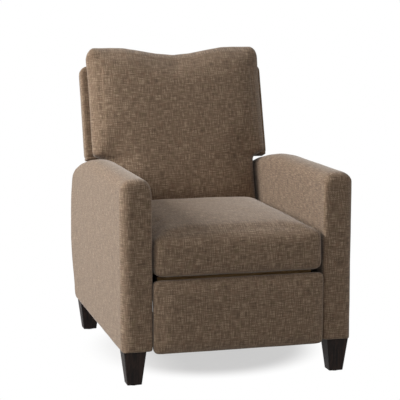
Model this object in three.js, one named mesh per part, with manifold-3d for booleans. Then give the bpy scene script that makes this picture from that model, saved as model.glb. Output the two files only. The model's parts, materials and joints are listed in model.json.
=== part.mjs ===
// A push-back recliner: two rounded upholstered arms on tapered legs, a boxed seat cushion on a
// sliding frame, a winged back that leans on a hinge, and a footrest on a folding linkage.
// Millimetres, +Z up. The front faces -Y, X is zero midway between the arms and Z is zero on the
// floor. Depths are counted from the arms' front faces, and the end of this file centres them.
import * as THREE from "three";
import { mergeVertices } from "three/addons/utils/BufferGeometryUtils.js";
import Module from "manifold-3d";

const wasm = await Module();
wasm.setup();

// Clearances
const fitGap = 0.3; // between pieces that rest on each other
const pinPlay = 0.5; // radial play of a rivet or pin in its hole
const cutOverrun = 25; // how far a cutting solid runs past the face that it opens

// Arms
const overallWidth = 762;
const armWidth = 100;
const armDepth = 938;
const armTopHeight = 659;
const undersideHeight = 111;
const armArchHeight = 45; // fall from the crown to the sides of the rounded top
const armArchPower = 2.5;
const armFrontRoll = 34;
const armFlatRun = 510; // length of the level stretch of the top
const armSlopeEase = 120;
const armRearTopSetback = 45;
const armRearTopDrop = 76;
const armRearTopEase = 12;
const armRearRoll = 26;
const armRearTuck = 60;
const armBulgeRise = 219;
const armBulgeReach = 130;
const armBulgeEase = 50;
const armHeelSetback = 65;
const armHeelRise = 42;
const armHeelLean = 14;
const armHeelEase = 40;
const armHeelTuck = 5;
const armHeelRun = 40;
const armEdgeDraw = 9; // how far the front and rear faces draw in towards the arm's sides
const armEdgePower = 6;
const armCoverWall = 14;

// Frame inside each arm
const frontPostDepth = 60;
const rearPostDepth = 55;
const rearPostSetback = 158; // from the arm's rearmost point to the rear post's front face
const armPostDrop = 119;
const rearPostDrop = 60;
const armPanelThickness = 18;
const armPanelLift = 4;
const armTopRailThickness = 22;
const armTopRailLength = 505;
const armTopRailWidth = 60;

// Legs
const legTopWidth = 72;
const legFootWidth = 47;
const legChamfer = 3;
const legSideInset = 44.5; // from the chair's side to the leg's middle
const frontLegShift = 3.2; // from the post's middle to the leg's middle
const rearLegShift = 5;
const glideRadius = 15;
const glideThickness = 3;
const legBoltRadius = 4;
const legBoltLength = 90;
const legBoltInLeg = 48;

// Cross rails and rear apron
const crossRailThickness = 37;
const frontRailClearance = 40; // behind the knee of the footrest's linkage
const frontRailHeight = 47;
const railLift = 2;
const rearRailInset = 5;
const rearRailHeight = 50;
const rearRailLift = 14;
const apronThickness = 25;
const apronHeight = 222;
const apronEdge = 8;

// Sliding runners between the arms and the seat
const slideTilt = 5; // degrees by which the runners rise towards the front
const runnerDepth = 350;
const runnerDrop = 40;
const channelLength = 420;
const channelFlange = 12;
const channelWall = 3;
const channelWidth = 18.4;
const runnerGap = 3.3; // between the channel and the seat plate
const slideBarLength = 300;
const slideBarShift = 20;
const slideBarPlay = 0.4;
const slideBarEndPlay = 2.7;

// Seat frame
const seatDeckHeight = 338;
const steelPlate = 3;
const seatPlateFront = 60;
const seatPlateNoseDepth = 84;
const seatPlateNoseDrop = 86;
const seatPlateNoseLength = 40;
const seatPlateNoseEase = 41;
const seatPlateBellyDrop = 74;
const neckReach = 80; // from the back's hinge to the front of the plate's neck
const neckLean = 22;
const neckWidth = 28;
const neckEase = 25;
const seatRailHeight = 25;
const seatRailWidth = 58;
const seatFrontRailDepth = 52;
const seatRearRailReach = 154; // from the back's hinge to the rear rail's front face
const webThickness = 3;
const webInset = 5.7;
const seatStrapsAcross = 6;
const seatStrapsDeep = 6;
const backStrapsAcross = 4;
const backStrapsHigh = 6;
const strapShare = 0.56; // of the pitch between straps

// Seat cushion
const seatCushionSideGap = 5;
const seatCushionFront = -16;
const seatCushionRearGap = 4;
const seatCushionThickness = 139.7;
const seatCushionCrown = 19;
const seatCushionNose = 7;
const seatCushionRound = 30;
const seatCushionPull = 3;

// Back
const hingeBehindRail = 14;
const hingeRise = 54; // above the seat's deck
const hingeLugRadius = 14;
const hingePinRadius = 6;
const hingeSidePlay = 0.7;
const backLean = 16.5; // degrees from upright
const postThickness = 32;
const postWidth = 40;
const backPostFoot = -25;
const topRailHeight = 40;
const bottomRailFoot = -10;
const bottomRailHeight = 55;
const wingBlockLift = 24;
const wingBlockHeight = 38;
const backWebOverlap = 23; // of the webbing on each back post
const backWebFoot = 5;
const backBracketHeight = 160;
const backBracketWidth = 26;

// Outside back, a padded tray round the back frame
const outsideOverhang = 62; // beyond the arms' inner faces
const outsideSideGap = 4;
const outsideTop = 587; // along the back, from the hinge
const outsideFoot = -45;
const wingDrop = 28; // below the arms' tops
const outsideWingRise = 3;
const outsideRearWall = 11.7;
const outsideWall = 10;
const outsideRound = 9;
const outsideCorner = 26;

// Back cushion
const backCushionOverhang = 44; // beyond the arms' inner faces
const backCushionSideGap = 6;
const backCushionRise = 60; // above the outside back
const backCushionFoot = 14;
const backCushionThickness = 58;
const backCushionCrown = 30;
const backCushionRound = 27;
const backCushionCorner = 16;
const backCushionDip = 29;
const backCushionDipReach = 215;
const backCushionTopShare = 0.5; // of the half height, where the dip and corners begin
const backWingDrop = 2; // below the outside back's wings
const backWingRise = 24;

// Footrest
const footrestSideGap = 8;
const footrestDrop = 10; // below the arms' undersides
const footrestTopGap = 1.7;
const footrestFront = -14;
const footrestCrown = 6;
const footrestRound = 17;
const footboardFront = 22;
const footboardThickness = 15;
const footboardMargin = 9;

// Footrest linkage, seen from the side at rest
const linkWidth = 18;
const linkGap = 1;
const rivetRadius = 4;
const rivetHeadRadius = 8;
const rivetHeadThickness = 2.6;
const spacerRadius = 7;
const tubeRadius = 8;
const drivePivotDepth = 100;
const drivePivotDrop = 68;
const guidePivotDepth = 73.3;
const guidePivotDrop = 41.6;
const kneeDepth = 175;
const kneeDrop = 213;
const footPivotSetback = 17;
const footPivotDrop = 113;
const footPivotSpacing = 48;
const controlReach = 124; // along the drive link from its seat pivot
const guideReach = 35; // along the carrier link from the knee
const footBracketFlange = 30;
const footBracketHeight = 96;

// Steps of the curved surfaces
const curveSteps = 5;
const archSlices = 10;
const roundSegments = 14;
const cushionStepsWide = 16;
const cushionStepsDeep = 6;
const footrestSteps = 14;
const bevelSteps = 3;
const mergeDistance = 1e-4;

const degrees = Math.PI / 180;
const sides = { left: -1, right: 1 };

// Places that several pieces share
const armInner = overallWidth / 2 - armWidth;
const armOuter = overallWidth / 2;
const cavityInner = armInner + armCoverWall;
const cavityOuter = armOuter - armCoverWall;
const postInnerFace = cavityInner + fitGap;
const postOuterFace = cavityOuter - fitGap;
const postBase = undersideHeight + fitGap;
const armPostTop = armTopHeight - armPostDrop;
const rearPostTop = armPostTop - rearPostDrop;
const frontPostFront = armCoverWall + fitGap;
const rearPostFront = armDepth - rearPostSetback;
const legX = overallWidth / 2 - legSideInset;
const frontLegDepth = frontPostFront + frontPostDepth / 2 + frontLegShift;
const rearLegDepth = rearPostFront + rearPostDepth / 2 + rearLegShift;
const boltBase = undersideHeight - legBoltInLeg;
const frontRailDepth = kneeDepth + frontRailClearance;
const frontRailBase = undersideHeight + railLift;
const rearRailDepth = rearPostFront - rearRailInset - crossRailThickness;
const rearRailBase = undersideHeight + rearRailLift;
const apronBase = undersideHeight + railLift;
const channelOuter = armInner - fitGap;
const channelInner = channelOuter - channelWidth;
const seatPlateOuter = channelInner - runnerGap;
const seatPlateInner = seatPlateOuter - steelPlate;
const hinge = new THREE.Vector2(rearRailDepth + hingeBehindRail, seatDeckHeight + hingeRise);
const seatRearRailDepth = hinge.x - seatRearRailReach;
const cushionBase = seatDeckHeight + webThickness + fitGap;
const seatCushionRear = hinge.x - neckReach - seatCushionRearGap;
const bracketOuter = seatPlateInner - hingeSidePlay;
const bracketInner = bracketOuter - steelPlate;
const backPostOuter = bracketInner - fitGap;
const backPostInner = backPostOuter - postWidth;
const backFrameTop = outsideTop - outsideWall - fitGap;
const outsideWidth = armInner + outsideOverhang;
const outsideLowWidth = armInner - outsideSideGap;
const outsideRear = postThickness / 2 + fitGap + outsideRearWall;
const wingHeight = armTopHeight - wingDrop - hinge.y;
const outsideWingFoot = wingHeight / Math.cos(backLean * degrees);
const backWingFoot = outsideWingFoot - backWingDrop;
const backWebRear = -postThickness / 2 - fitGap;
const outsideFront = backWebRear - webThickness;
const backCushionRear = outsideFront - fitGap;
const backCushionWidth = armInner + backCushionOverhang;
const backCushionLowWidth = armInner - backCushionSideGap;
const backCushionTop = outsideTop + backCushionRise;
const footrestWidth = armInner - footrestSideGap;
const footrestBase = undersideHeight - footrestDrop;
const footrestTop = cushionBase - footrestTopGap;
const footboardRear = footboardFront + footboardThickness;

// Finishes
const finish = (color, roughness, metalness) =>
  new THREE.MeshStandardMaterial({ color, roughness, metalness });
const tweed = finish(0x7a6a59, 0.95, 0);
const webbing = finish(0x6e6252, 0.9, 0);
const espressoWood = finish(0x231f1d, 0.45, 0);
const hardwood = finish(0xb08b5e, 0.7, 0);
const plywood = finish(0xc2a071, 0.75, 0);
const steel = finish(0x55585a, 0.45, 0.8);
const zinc = finish(0x9a9c9e, 0.35, 0.9);
const nylon = finish(0x1c1c1c, 0.5, 0);

// Makes a solid from a closed geometry, keeping only its positions.
function solidFrom(geometry) {
  const bare = geometry.clone();
  bare.deleteAttribute("normal");
  bare.deleteAttribute("uv");
  const merged = mergeVertices(bare, mergeDistance);
  const numbers = {
    numProp: 3,
    vertProperties: new Float32Array(merged.getAttribute("position").array),
    triVerts: new Uint32Array(merged.index.array),
  };
  const made = new wasm.Manifold(new wasm.Mesh(numbers));
  if (made.volume() > 0) return made;
  for (let i = 0; i < numbers.triVerts.length; i += 3) {
    const first = numbers.triVerts[i];
    numbers.triVerts[i] = numbers.triVerts[i + 1];
    numbers.triVerts[i + 1] = first;
  }
  return new wasm.Manifold(new wasm.Mesh(numbers));
}

// Turns a solid back into a geometry with flat faces.
function geometryFrom(solid) {
  const mesh = solid.getMesh();
  const positions = new Float32Array(mesh.numVert * 3);
  for (let i = 0; i < mesh.numVert; i++) {
    for (let k = 0; k < 3; k++) {
      positions[3 * i + k] = mesh.vertProperties[mesh.numProp * i + k];
    }
  }
  const geometry = new THREE.BufferGeometry();
  geometry.setAttribute("position", new THREE.BufferAttribute(positions, 3));
  geometry.setIndex(new THREE.BufferAttribute(mesh.triVerts, 1));
  const flat = geometry.toNonIndexed();
  flat.computeVertexNormals();
  return flat;
}

const joined = (...solids) => solids.reduce((whole, piece) => whole.add(piece));
const cut = (solid, ...tools) => tools.reduce((left, tool) => left.subtract(tool), solid);

// A box between two values along each axis.
function block([x0, x1], [y0, y1], [z0, z1]) {
  const box = new THREE.BoxGeometry(Math.abs(x1 - x0), Math.abs(y1 - y0), Math.abs(z1 - z0));
  box.translate((x0 + x1) / 2, (y0 + y1) / 2, (z0 + z1) / 2);
  return solidFrom(box);
}

// A rod along X between two values, at a point seen from the side.
function rod(point, radius, [x0, x1]) {
  const cylinder = new THREE.CylinderGeometry(radius, radius, Math.abs(x1 - x0), roundSegments);
  cylinder.rotateZ(Math.PI / 2);
  cylinder.translate((x0 + x1) / 2, point.x, point.y);
  return solidFrom(cylinder);
}

// A side view, given as depth and height, drawn out along X between two values.
function sidePlate(shape, [x0, x1]) {
  const options = { depth: Math.abs(x1 - x0), bevelEnabled: false, curveSegments: curveSteps };
  const plate = new THREE.ExtrudeGeometry(shape, options);
  plate.applyMatrix4(
    new THREE.Matrix4().makeBasis(
      new THREE.Vector3(0, 1, 0),
      new THREE.Vector3(0, 0, 1),
      new THREE.Vector3(1, 0, 0),
    ),
  );
  plate.translate(Math.min(x0, x1), 0, 0);
  return solidFrom(plate);
}

// The two X values of a span that lies between two distances from the middle, on one side.
const onSide = (side, inner, outer) => [side * inner, side * outer];

// Joins rings of points into one closed skin with flat ends.
function loft(rings) {
  const count = rings[0].length;
  const positions = rings.flat().flatMap((point) => [point.x, point.y, point.z]);
  const faces = [];
  for (let r = 0; r + 1 < rings.length; r++) {
    for (let i = 0; i < count; i++) {
      const a = r * count + i;
      const b = r * count + ((i + 1) % count);
      faces.push(a, b, b + count, a, b + count, a + count);
    }
  }
  const last = (rings.length - 1) * count;
  for (let i = 1; i + 1 < count; i++) {
    faces.push(0, i + 1, i, last, last + i, last + i + 1);
  }
  const geometry = new THREE.BufferGeometry();
  geometry.setAttribute("position", new THREE.Float32BufferAttribute(positions, 3));
  geometry.setIndex(faces);
  return solidFrom(geometry);
}

// How much of a cushion's crown is left at a share of its half width, near nothing at the edge.
const crownShare = (share) => 1 - share ** 4;

// Values from -1 to 1 that lie closer together near the ends.
function easedShares(steps) {
  return Array.from({ length: steps + 1 }, (_, i) => Math.sin((i / steps - 0.5) * Math.PI));
}

// A closed box whose grid follows three lists of shares, each point placed by a function.
function softSolid([acrossShares, deepShares, highShares], placed) {
  const box = new THREE.BoxGeometry(
    2,
    2,
    2,
    acrossShares.length - 1,
    deepShares.length - 1,
    highShares.length - 1,
  );
  const shareAt = (value, list) => list[Math.round(((value + 1) / 2) * (list.length - 1))];
  const position = box.getAttribute("position");
  for (let i = 0; i < position.count; i++) {
    const across = shareAt(position.getX(i), acrossShares);
    const deep = shareAt(position.getY(i), deepShares);
    const high = shareAt(position.getZ(i), highShares);
    const point = placed(across, deep, high);
    position.setXYZ(i, point.x, point.y, point.z);
  }
  return solidFrom(box);
}

// Places a point, given as shares of a box's half sizes, on the box with its edges rounded.
function roundedPoint(shares, half, radius) {
  const point = shares.clone().multiply(half);
  const core = point.clone();
  core.clamp(
    half.clone().addScalar(-radius).negate(),
    half.clone().addScalar(-radius),
  );
  const out = point.sub(core);
  return out.lengthSq() > 0 ? core.add(out.setLength(radius)) : core;
}

const smooth = (value, from, to) => THREE.MathUtils.smoothstep(value, from, to);

// The arm, seen from the side, with its faces moved in by an inset.
function armOutline(inset, base) {
  const top = armTopHeight - inset;
  const roll = armFrontRoll - inset;
  const rearTopDepth = armDepth - armRearTopSetback - inset;
  const rearTopHeight = top - armRearTopDrop;
  const bulgeDepth = armDepth - inset;
  const bulgeHeight = undersideHeight + armBulgeRise;
  const heelDepth = armDepth - armHeelSetback - inset;
  const heelHeight = undersideHeight + armHeelRise;
  const path = new THREE.Path();
  path.moveTo(inset, base);
  path.lineTo(inset, top - roll);
  path.quadraticCurveTo(inset, top, inset + roll, top);
  path.lineTo(armFlatRun, top);
  path.bezierCurveTo(
    armFlatRun + armSlopeEase,
    top,
    rearTopDepth - armRearTopEase,
    rearTopHeight + armRearRoll,
    rearTopDepth,
    rearTopHeight,
  );
  path.bezierCurveTo(
    rearTopDepth + armRearRoll,
    rearTopHeight - armRearTuck,
    bulgeDepth,
    bulgeHeight + armBulgeReach,
    bulgeDepth,
    bulgeHeight,
  );
  path.bezierCurveTo(
    bulgeDepth,
    bulgeHeight - armBulgeEase,
    heelDepth + armHeelLean,
    heelHeight + armHeelEase,
    heelDepth,
    heelHeight,
  );
  path.quadraticCurveTo(heelDepth - armHeelTuck, base, heelDepth - armHeelRun, base);
  return path.getPoints(curveSteps);
}

// The arm's rounded body as slices from side to side, whose tops fall to the sides.
function armBody(side, inset, base, draw) {
  const halfWidth = armWidth / 2 - inset;
  const middle = side * (overallWidth / 2 - armWidth / 2);
  const archHeight = armArchHeight - inset;
  const fullHeight = armTopHeight - inset - undersideHeight;
  const outline = armOutline(inset, base);
  const middleDepth = armDepth / 2;
  const fall = (share, power) => 1 - (1 - Math.abs(share) ** power) ** (1 / power);
  return loft(
    easedShares(archSlices).map((share) => {
      const heightShare = 1 - (archHeight * fall(share, armArchPower)) / fullHeight;
      const depthShare = 1 - (draw * fall(share, armEdgePower)) / middleDepth;
      return outline.map(
        (point) =>
          new THREE.Vector3(
            middle + share * halfWidth,
            middleDepth + (point.x - middleDepth) * depthShare,
            point.y <= undersideHeight
              ? point.y
              : undersideHeight + (point.y - undersideHeight) * heightShare,
          ),
      );
    }),
  );
}

// The padded cover over one arm, open below, with notches for the two cross rails.
function armCover(side) {
  const notches = [
    [frontRailDepth, frontRailBase + frontRailHeight],
    [rearRailDepth, rearRailBase + rearRailHeight],
  ].map(([depth, top]) =>
    block(
      onSide(side, armInner - cutOverrun, cavityInner + fitGap),
      [depth - fitGap, depth + crossRailThickness + fitGap],
      [undersideHeight - cutOverrun, top + fitGap],
    ),
  );
  const cavity = armBody(side, armCoverWall, undersideHeight - cutOverrun, 0);
  return cut(armBody(side, 0, undersideHeight, armEdgeDraw), cavity, ...notches);
}

// A corner post of the arm frame, bored for the leg's bolt.
function armPost(side, [front, depth], top, boltDepth) {
  const post = block(
    onSide(side, postInnerFace, postOuterFace),
    [front, front + depth],
    [postBase, top],
  );
  const bore = uprightRod(side * legX, boltDepth, legBoltRadius + pinPlay, [
    postBase - cutOverrun,
    boltBase + legBoltLength + fitGap,
  ]);
  return cut(post, bore);
}

// The plywood board on the arm's inner side, which carries the rails and the runner.
function armPanel(side) {
  const front = frontPostFront + frontPostDepth + fitGap;
  const rear = rearPostFront - fitGap;
  const railRear = frontPostFront + armTopRailLength;
  const base = undersideHeight + armPanelLift;
  const shape = new THREE.Shape([
    new THREE.Vector2(front, base),
    new THREE.Vector2(rear, base),
    new THREE.Vector2(rear, rearPostTop),
    new THREE.Vector2(railRear, armPostTop),
    new THREE.Vector2(front, armPostTop),
  ]);
  return sidePlate(shape, onSide(side, postInnerFace, postInnerFace + armPanelThickness));
}

// The flat rail that lies on the front post and the panel, under the padded crown.
function armTopRail(side) {
  const base = armPostTop + fitGap;
  return block(
    onSide(side, postInnerFace, postInnerFace + armTopRailWidth),
    [frontPostFront, frontPostFront + armTopRailLength],
    [base, base + armTopRailThickness],
  );
}

// A rod along Z between two heights.
function uprightRod(x, y, radius, [z0, z1]) {
  const cylinder = new THREE.CylinderGeometry(radius, radius, z1 - z0, roundSegments);
  cylinder.rotateX(Math.PI / 2);
  cylinder.translate(x, y, (z0 + z1) / 2);
  return solidFrom(cylinder);
}

// A square ring with its corners cut off.
function chamferedSquare(x, y, z, width) {
  const half = width / 2;
  const flat = half - legChamfer;
  const corners = [
    [half, -flat],
    [half, flat],
    [flat, half],
    [-flat, half],
    [-half, flat],
    [-half, -flat],
    [-flat, -half],
    [flat, -half],
  ];
  return corners.map(([dx, dy]) => new THREE.Vector3(x + dx, y + dy, z));
}

function leg(side, depth) {
  const body = loft([
    chamferedSquare(side * legX, depth, glideThickness + fitGap, legFootWidth),
    chamferedSquare(side * legX, depth, undersideHeight - fitGap, legTopWidth),
  ]);
  const bore = uprightRod(side * legX, depth, legBoltRadius + pinPlay, [
    boltBase - fitGap,
    undersideHeight + cutOverrun,
  ]);
  return cut(body, bore);
}

const glide = (side, depth) => uprightRod(side * legX, depth, glideRadius, [0, glideThickness]);

function legBolt(side, depth) {
  return uprightRod(side * legX, depth, legBoltRadius, [boltBase, boltBase + legBoltLength]);
}

function crossRail(depth, base, height) {
  return block([-cavityInner, cavityInner], [depth, depth + crossRailThickness], [
    base,
    base + height,
  ]);
}

// The padded panel that closes the rear below the outside back.
function rearApron() {
  const halfWidth = armInner - fitGap;
  const shape = new THREE.Shape([
    new THREE.Vector2(-halfWidth + apronEdge, apronBase + apronEdge),
    new THREE.Vector2(halfWidth - apronEdge, apronBase + apronEdge),
    new THREE.Vector2(halfWidth - apronEdge, apronBase + apronHeight - apronEdge),
    new THREE.Vector2(-halfWidth + apronEdge, apronBase + apronHeight - apronEdge),
  ]);
  const front = rearRailDepth + crossRailThickness + fitGap;
  return facing(shape, front, front + apronThickness, apronEdge);
}

// A front view, given as width and height, drawn out along Y with a rounded rear edge.
function facing(shape, front, rear, round) {
  const options = {
    depth: rear - round - front,
    bevelThickness: round,
    bevelSize: round,
    bevelSegments: bevelSteps,
    curveSegments: curveSteps,
  };
  const padded = new THREE.ExtrudeGeometry(shape, options);
  padded.rotateX(Math.PI / 2);
  padded.scale(1, -1, 1);
  padded.translate(0, front, 0);
  const reach = 2 * overallWidth;
  const ahead = block([-reach, reach], [front - cutOverrun, front], [-reach, reach]);
  return cut(solidFrom(padded), ahead);
}

// The channel that guides the seat, turned to the runners' tilt.
function slideChannel(side) {
  const half = channelLength / 2;
  const high = [-channelFlange, channelFlange];
  const whole = block(onSide(side, channelInner, channelOuter), [-half, half], high);
  const hollow = block(
    onSide(side, channelInner - cutOverrun, channelOuter - channelWall),
    [-half - cutOverrun, half + cutOverrun],
    [channelWall - channelFlange, channelFlange - channelWall],
  );
  return cut(whole, hollow);
}

function slideBar(side) {
  const half = slideBarLength / 2;
  const high = channelFlange - channelWall - slideBarPlay;
  return block(
    onSide(side, seatPlateOuter + fitGap, channelOuter - channelWall - slideBarEndPlay),
    [slideBarShift - half, slideBarShift + half],
    [-high, high],
  );
}

const belowDeck = (depth, drop) => new THREE.Vector2(depth, seatDeckHeight - drop);
const drivePivot = belowDeck(drivePivotDepth, drivePivotDrop);
const guidePivot = belowDeck(guidePivotDepth, guidePivotDrop);
const knee = belowDeck(kneeDepth, kneeDrop);
const footPivot = belowDeck(footboardRear + footPivotSetback, footPivotDrop);
const footUpperPivot = new THREE.Vector2(footPivot.x, footPivot.y + footPivotSpacing);
const along = (from, to, length) =>
  to.clone().sub(from).setLength(length).add(from);
const controlPivot = along(drivePivot, knee, controlReach);
const guideJoint = along(knee, footPivot, guideReach);

// Distances from the middle to the faces of each layer of the linkage, from the seat plate inwards.
const layer = (count) => {
  const outer = seatPlateInner - linkGap - count * (steelPlate + linkGap);
  return [outer - steelPlate, outer];
};
const controlLayer = layer(0);
const driveLayer = layer(1);
const carrierLayer = layer(2);
const guideLayer = layer(3);

// The steel plate at one side of the seat, with a lug for the back's hinge.
function seatPlate(side) {
  const neckFront = hinge.x - neckReach;
  const neckRear = neckFront + neckWidth;
  const belly = seatDeckHeight - seatPlateBellyDrop;
  const nose = seatDeckHeight - seatPlateNoseDrop;
  const noseRear = seatPlateNoseDepth + seatPlateNoseLength;
  const shape = new THREE.Shape();
  shape.moveTo(seatPlateFront, seatDeckHeight);
  shape.lineTo(seatPlateFront, belly);
  shape.lineTo(seatPlateNoseDepth, nose);
  shape.lineTo(noseRear, nose);
  shape.lineTo(noseRear + seatPlateNoseEase, belly);
  shape.lineTo(neckRear - neckEase, belly);
  shape.lineTo(neckRear, belly + neckEase);
  shape.lineTo(neckRear, hinge.y - hingeLugRadius);
  shape.absarc(hinge.x, hinge.y, hingeLugRadius, -Math.PI / 2, Math.PI / 2, false);
  shape.lineTo(neckFront + neckLean, hinge.y + hingeLugRadius);
  shape.lineTo(neckFront, seatDeckHeight);
  shape.closePath();
  const span = onSide(side, seatPlateInner, seatPlateOuter);
  const through = onSide(side, seatPlateInner - cutOverrun, seatPlateOuter + cutOverrun);
  return cut(
    sidePlate(shape, span),
    rod(drivePivot, rivetRadius + pinPlay, through),
    rod(guidePivot, rivetRadius + pinPlay, through),
    rod(hinge, hingePinRadius + pinPlay, through),
  );
}

function seatRail(depth) {
  const halfWidth = seatPlateInner - fitGap;
  const top = seatDeckHeight - fitGap;
  return block([-halfWidth, halfWidth], [depth, depth + seatRailWidth], [
    top - seatRailHeight,
    top,
  ]);
}

// A net of woven straps, made by cutting the gaps between them out of one flat piece.
function strapNet(flatPiece, halfWidth, [from, to], across, along) {
  const pitchAcross = (2 * halfWidth) / (across - 1 + strapShare);
  const pitchAlong = (to - from) / (along - 1 + strapShare);
  const gaps = [];
  for (let i = 0; i + 1 < across; i++) {
    for (let j = 0; j + 1 < along; j++) {
      const x = -halfWidth + (i + strapShare) * pitchAcross;
      const start = from + (j + strapShare) * pitchAlong;
      const wide = (1 - strapShare) * pitchAcross;
      const long = (1 - strapShare) * pitchAlong;
      gaps.push(flatPiece([x, x + wide], [start, start + long], cutOverrun));
    }
  }
  return cut(flatPiece([-halfWidth, halfWidth], [from, to], 0), ...gaps);
}

// The seat's webbing lies flat on the two seat rails.
function seatWebbing() {
  const base = seatDeckHeight;
  const laid = (xs, ys, over) => block(xs, ys, [base - over, base + webThickness + over]);
  const span = [seatFrontRailDepth, seatRearRailDepth + seatRailWidth];
  return strapNet(laid, seatPlateInner - webInset, span, seatStrapsAcross, seatStrapsDeep);
}

// The seat cushion: flat below, crowned above, with a full rounded front.
function seatCushion() {
  const half = new THREE.Vector3(
    armInner - seatCushionSideGap,
    (seatCushionRear - seatCushionFront) / 2,
    seatCushionThickness / 2,
  );
  const middle = new THREE.Vector3(0, seatCushionFront + half.y, cushionBase + half.z);
  const shares = easedShares(cushionStepsWide);
  return softSolid([shares, shares, easedShares(cushionStepsDeep)], (across, deep, high) => {
    const point = roundedPoint(new THREE.Vector3(across, deep, high), half, seatCushionRound);
    const crown = crownShare(across) * crownShare(deep);
    if (high > 0) point.z += seatCushionCrown * crown * high;
    if (deep < 0) point.y += seatCushionNose * deep * crownShare(across) * (1 - high ** 2);
    point.x *= 1 - (seatCushionPull * (1 - deep ** 2)) / half.x;
    return point.add(middle);
  });
}

// A post of the back frame, which turns on the hinge at its foot.
function backPost(side) {
  const top = backFrameTop - topRailHeight - fitGap;
  return block(
    onSide(side, backPostInner, backPostOuter),
    [-postThickness / 2, postThickness / 2],
    [backPostFoot, top],
  );
}

function backTopRail() {
  const halfWidth = outsideWidth - outsideCorner - outsideWall;
  return block(
    [-halfWidth, halfWidth],
    [-postThickness / 2, postThickness / 2],
    [backFrameTop - topRailHeight, backFrameTop],
  );
}

function backBottomRail() {
  const halfWidth = backPostInner - fitGap;
  return block(
    [-halfWidth, halfWidth],
    [-postThickness / 2, postThickness / 2],
    [bottomRailFoot, bottomRailFoot + bottomRailHeight],
  );
}

// A block that stiffens one wing of the back beside its post.
function wingBlock(side) {
  const foot = outsideWingFoot + wingBlockLift;
  return block(
    onSide(side, bracketInner, outsideWidth - outsideWall - fitGap),
    [-postThickness / 2, postThickness / 2],
    [foot, foot + wingBlockHeight],
  );
}

function backWebbing() {
  const front = backWebRear - webThickness;
  const hung = (xs, zs, over) => block(xs, [front - over, backWebRear + over], zs);
  const span = [backWebFoot, backFrameTop - fitGap];
  const halfWidth = backPostInner + backWebOverlap;
  return strapNet(hung, halfWidth, span, backStrapsAcross, backStrapsHigh);
}

// The T-shaped front view of the outside back, with its edges moved in by an inset.
function wingedShape(inset) {
  const wide = outsideWidth - inset;
  const narrow = outsideLowWidth - inset;
  const top = outsideTop - inset;
  const foot = outsideFoot + inset;
  const wing = outsideWingFoot + inset;
  const corner = outsideCorner - inset;
  const shape = new THREE.Shape();
  shape.moveTo(-narrow, foot);
  shape.lineTo(narrow, foot);
  shape.lineTo(narrow, wing - outsideWingRise);
  shape.lineTo(wide, wing);
  shape.lineTo(wide, top - corner);
  shape.quadraticCurveTo(wide, top, wide - corner, top);
  shape.lineTo(corner - wide, top);
  shape.quadraticCurveTo(-wide, top, -wide, top - corner);
  shape.lineTo(-wide, wing);
  shape.lineTo(-narrow, wing - outsideWingRise);
  shape.closePath();
  return shape;
}

// The outside back is hollow, closed in front of its wings and open between them.
function outsideBack() {
  const skin = facing(wingedShape(outsideRound), outsideFront, outsideRear, outsideRound);
  const depth = postThickness / 2 + fitGap;
  const hollow = new THREE.ExtrudeGeometry(wingedShape(outsideWall), {
    depth: depth - backWebRear,
    bevelEnabled: false,
    curveSegments: curveSteps,
  });
  hollow.rotateX(Math.PI / 2);
  hollow.translate(0, depth, 0);
  const openWidth = outsideLowWidth - outsideWall;
  const mouth = block(
    [-openWidth, openWidth],
    [outsideFront - cutOverrun, 0],
    [outsideFoot + outsideWall, outsideTop - outsideWall],
  );
  return cut(skin, solidFrom(hollow), mouth);
}

// The back cushion: two wings over the arms, a crowned face and a top that dips in the middle.
function backCushion() {
  const half = new THREE.Vector3(
    backCushionWidth,
    backCushionThickness / 2,
    (backCushionTop - backCushionFoot) / 2,
  );
  const middle = new THREE.Vector3(
    0,
    backCushionRear - half.y,
    backCushionFoot + half.z,
  );
  const shareOf = (height) => (height - middle.z) / half.z;
  const wingShares = [shareOf(backWingFoot - backWingRise), shareOf(backWingFoot)];
  const highShares = [...easedShares(cushionStepsWide), ...wingShares].sort((a, b) => a - b);
  const lists = [easedShares(cushionStepsWide), easedShares(cushionStepsDeep), highShares];
  return softSolid(lists, (across, deep, high) => {
    const point = roundedPoint(new THREE.Vector3(across, deep, high), half, backCushionRound);
    const height = middle.z + high * half.z;
    const wide = smooth(height, backWingFoot - backWingRise, backWingFoot);
    const low = backCushionLowWidth / half.x;
    point.x *= low + (1 - low) * wide;
    const corner = smooth(Math.abs(point.x), half.x - 2 * backCushionCorner, half.x);
    const dip = 1 - smooth(Math.abs(point.x), 0, backCushionDipReach);
    const nearTop = smooth(high, backCushionTopShare, 1);
    point.z -= nearTop * (backCushionCorner * corner ** 2 + backCushionDip * dip);
    const crown = crownShare(across) * crownShare(high);
    if (deep < 0) point.y += backCushionCrown * deep * crown;
    return point.add(middle);
  });
}

// The steel strap on the outer face of a back post, with its hinge pin.
function backBracket(side) {
  const strap = block(
    onSide(side, bracketInner, bracketOuter),
    [-backBracketWidth / 2, backBracketWidth / 2],
    [-backBracketWidth / 2, backBracketHeight],
  );
  const headInner = seatPlateOuter + fitGap;
  const centre = new THREE.Vector2(0, 0);
  return joined(
    strap,
    rod(centre, hingePinRadius, onSide(side, bracketInner, headInner)),
    rod(centre, hingePinRadius + steelPlate, onSide(side, headInner, headInner + steelPlate)),
  );
}

// A flat link with round ends between two points seen from the side.
function flatLink(side, from, to, faces) {
  const span = onSide(side, faces[0], faces[1]);
  const half = linkWidth / 2;
  const normal = to.clone().sub(from).setLength(half);
  const across = new THREE.Vector2(-normal.y, normal.x);
  const shape = new THREE.Shape([
    from.clone().add(across),
    to.clone().add(across),
    to.clone().sub(across),
    from.clone().sub(across),
  ]);
  return joined(sidePlate(shape, span), rod(from, half, span), rod(to, half, span));
}

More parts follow.
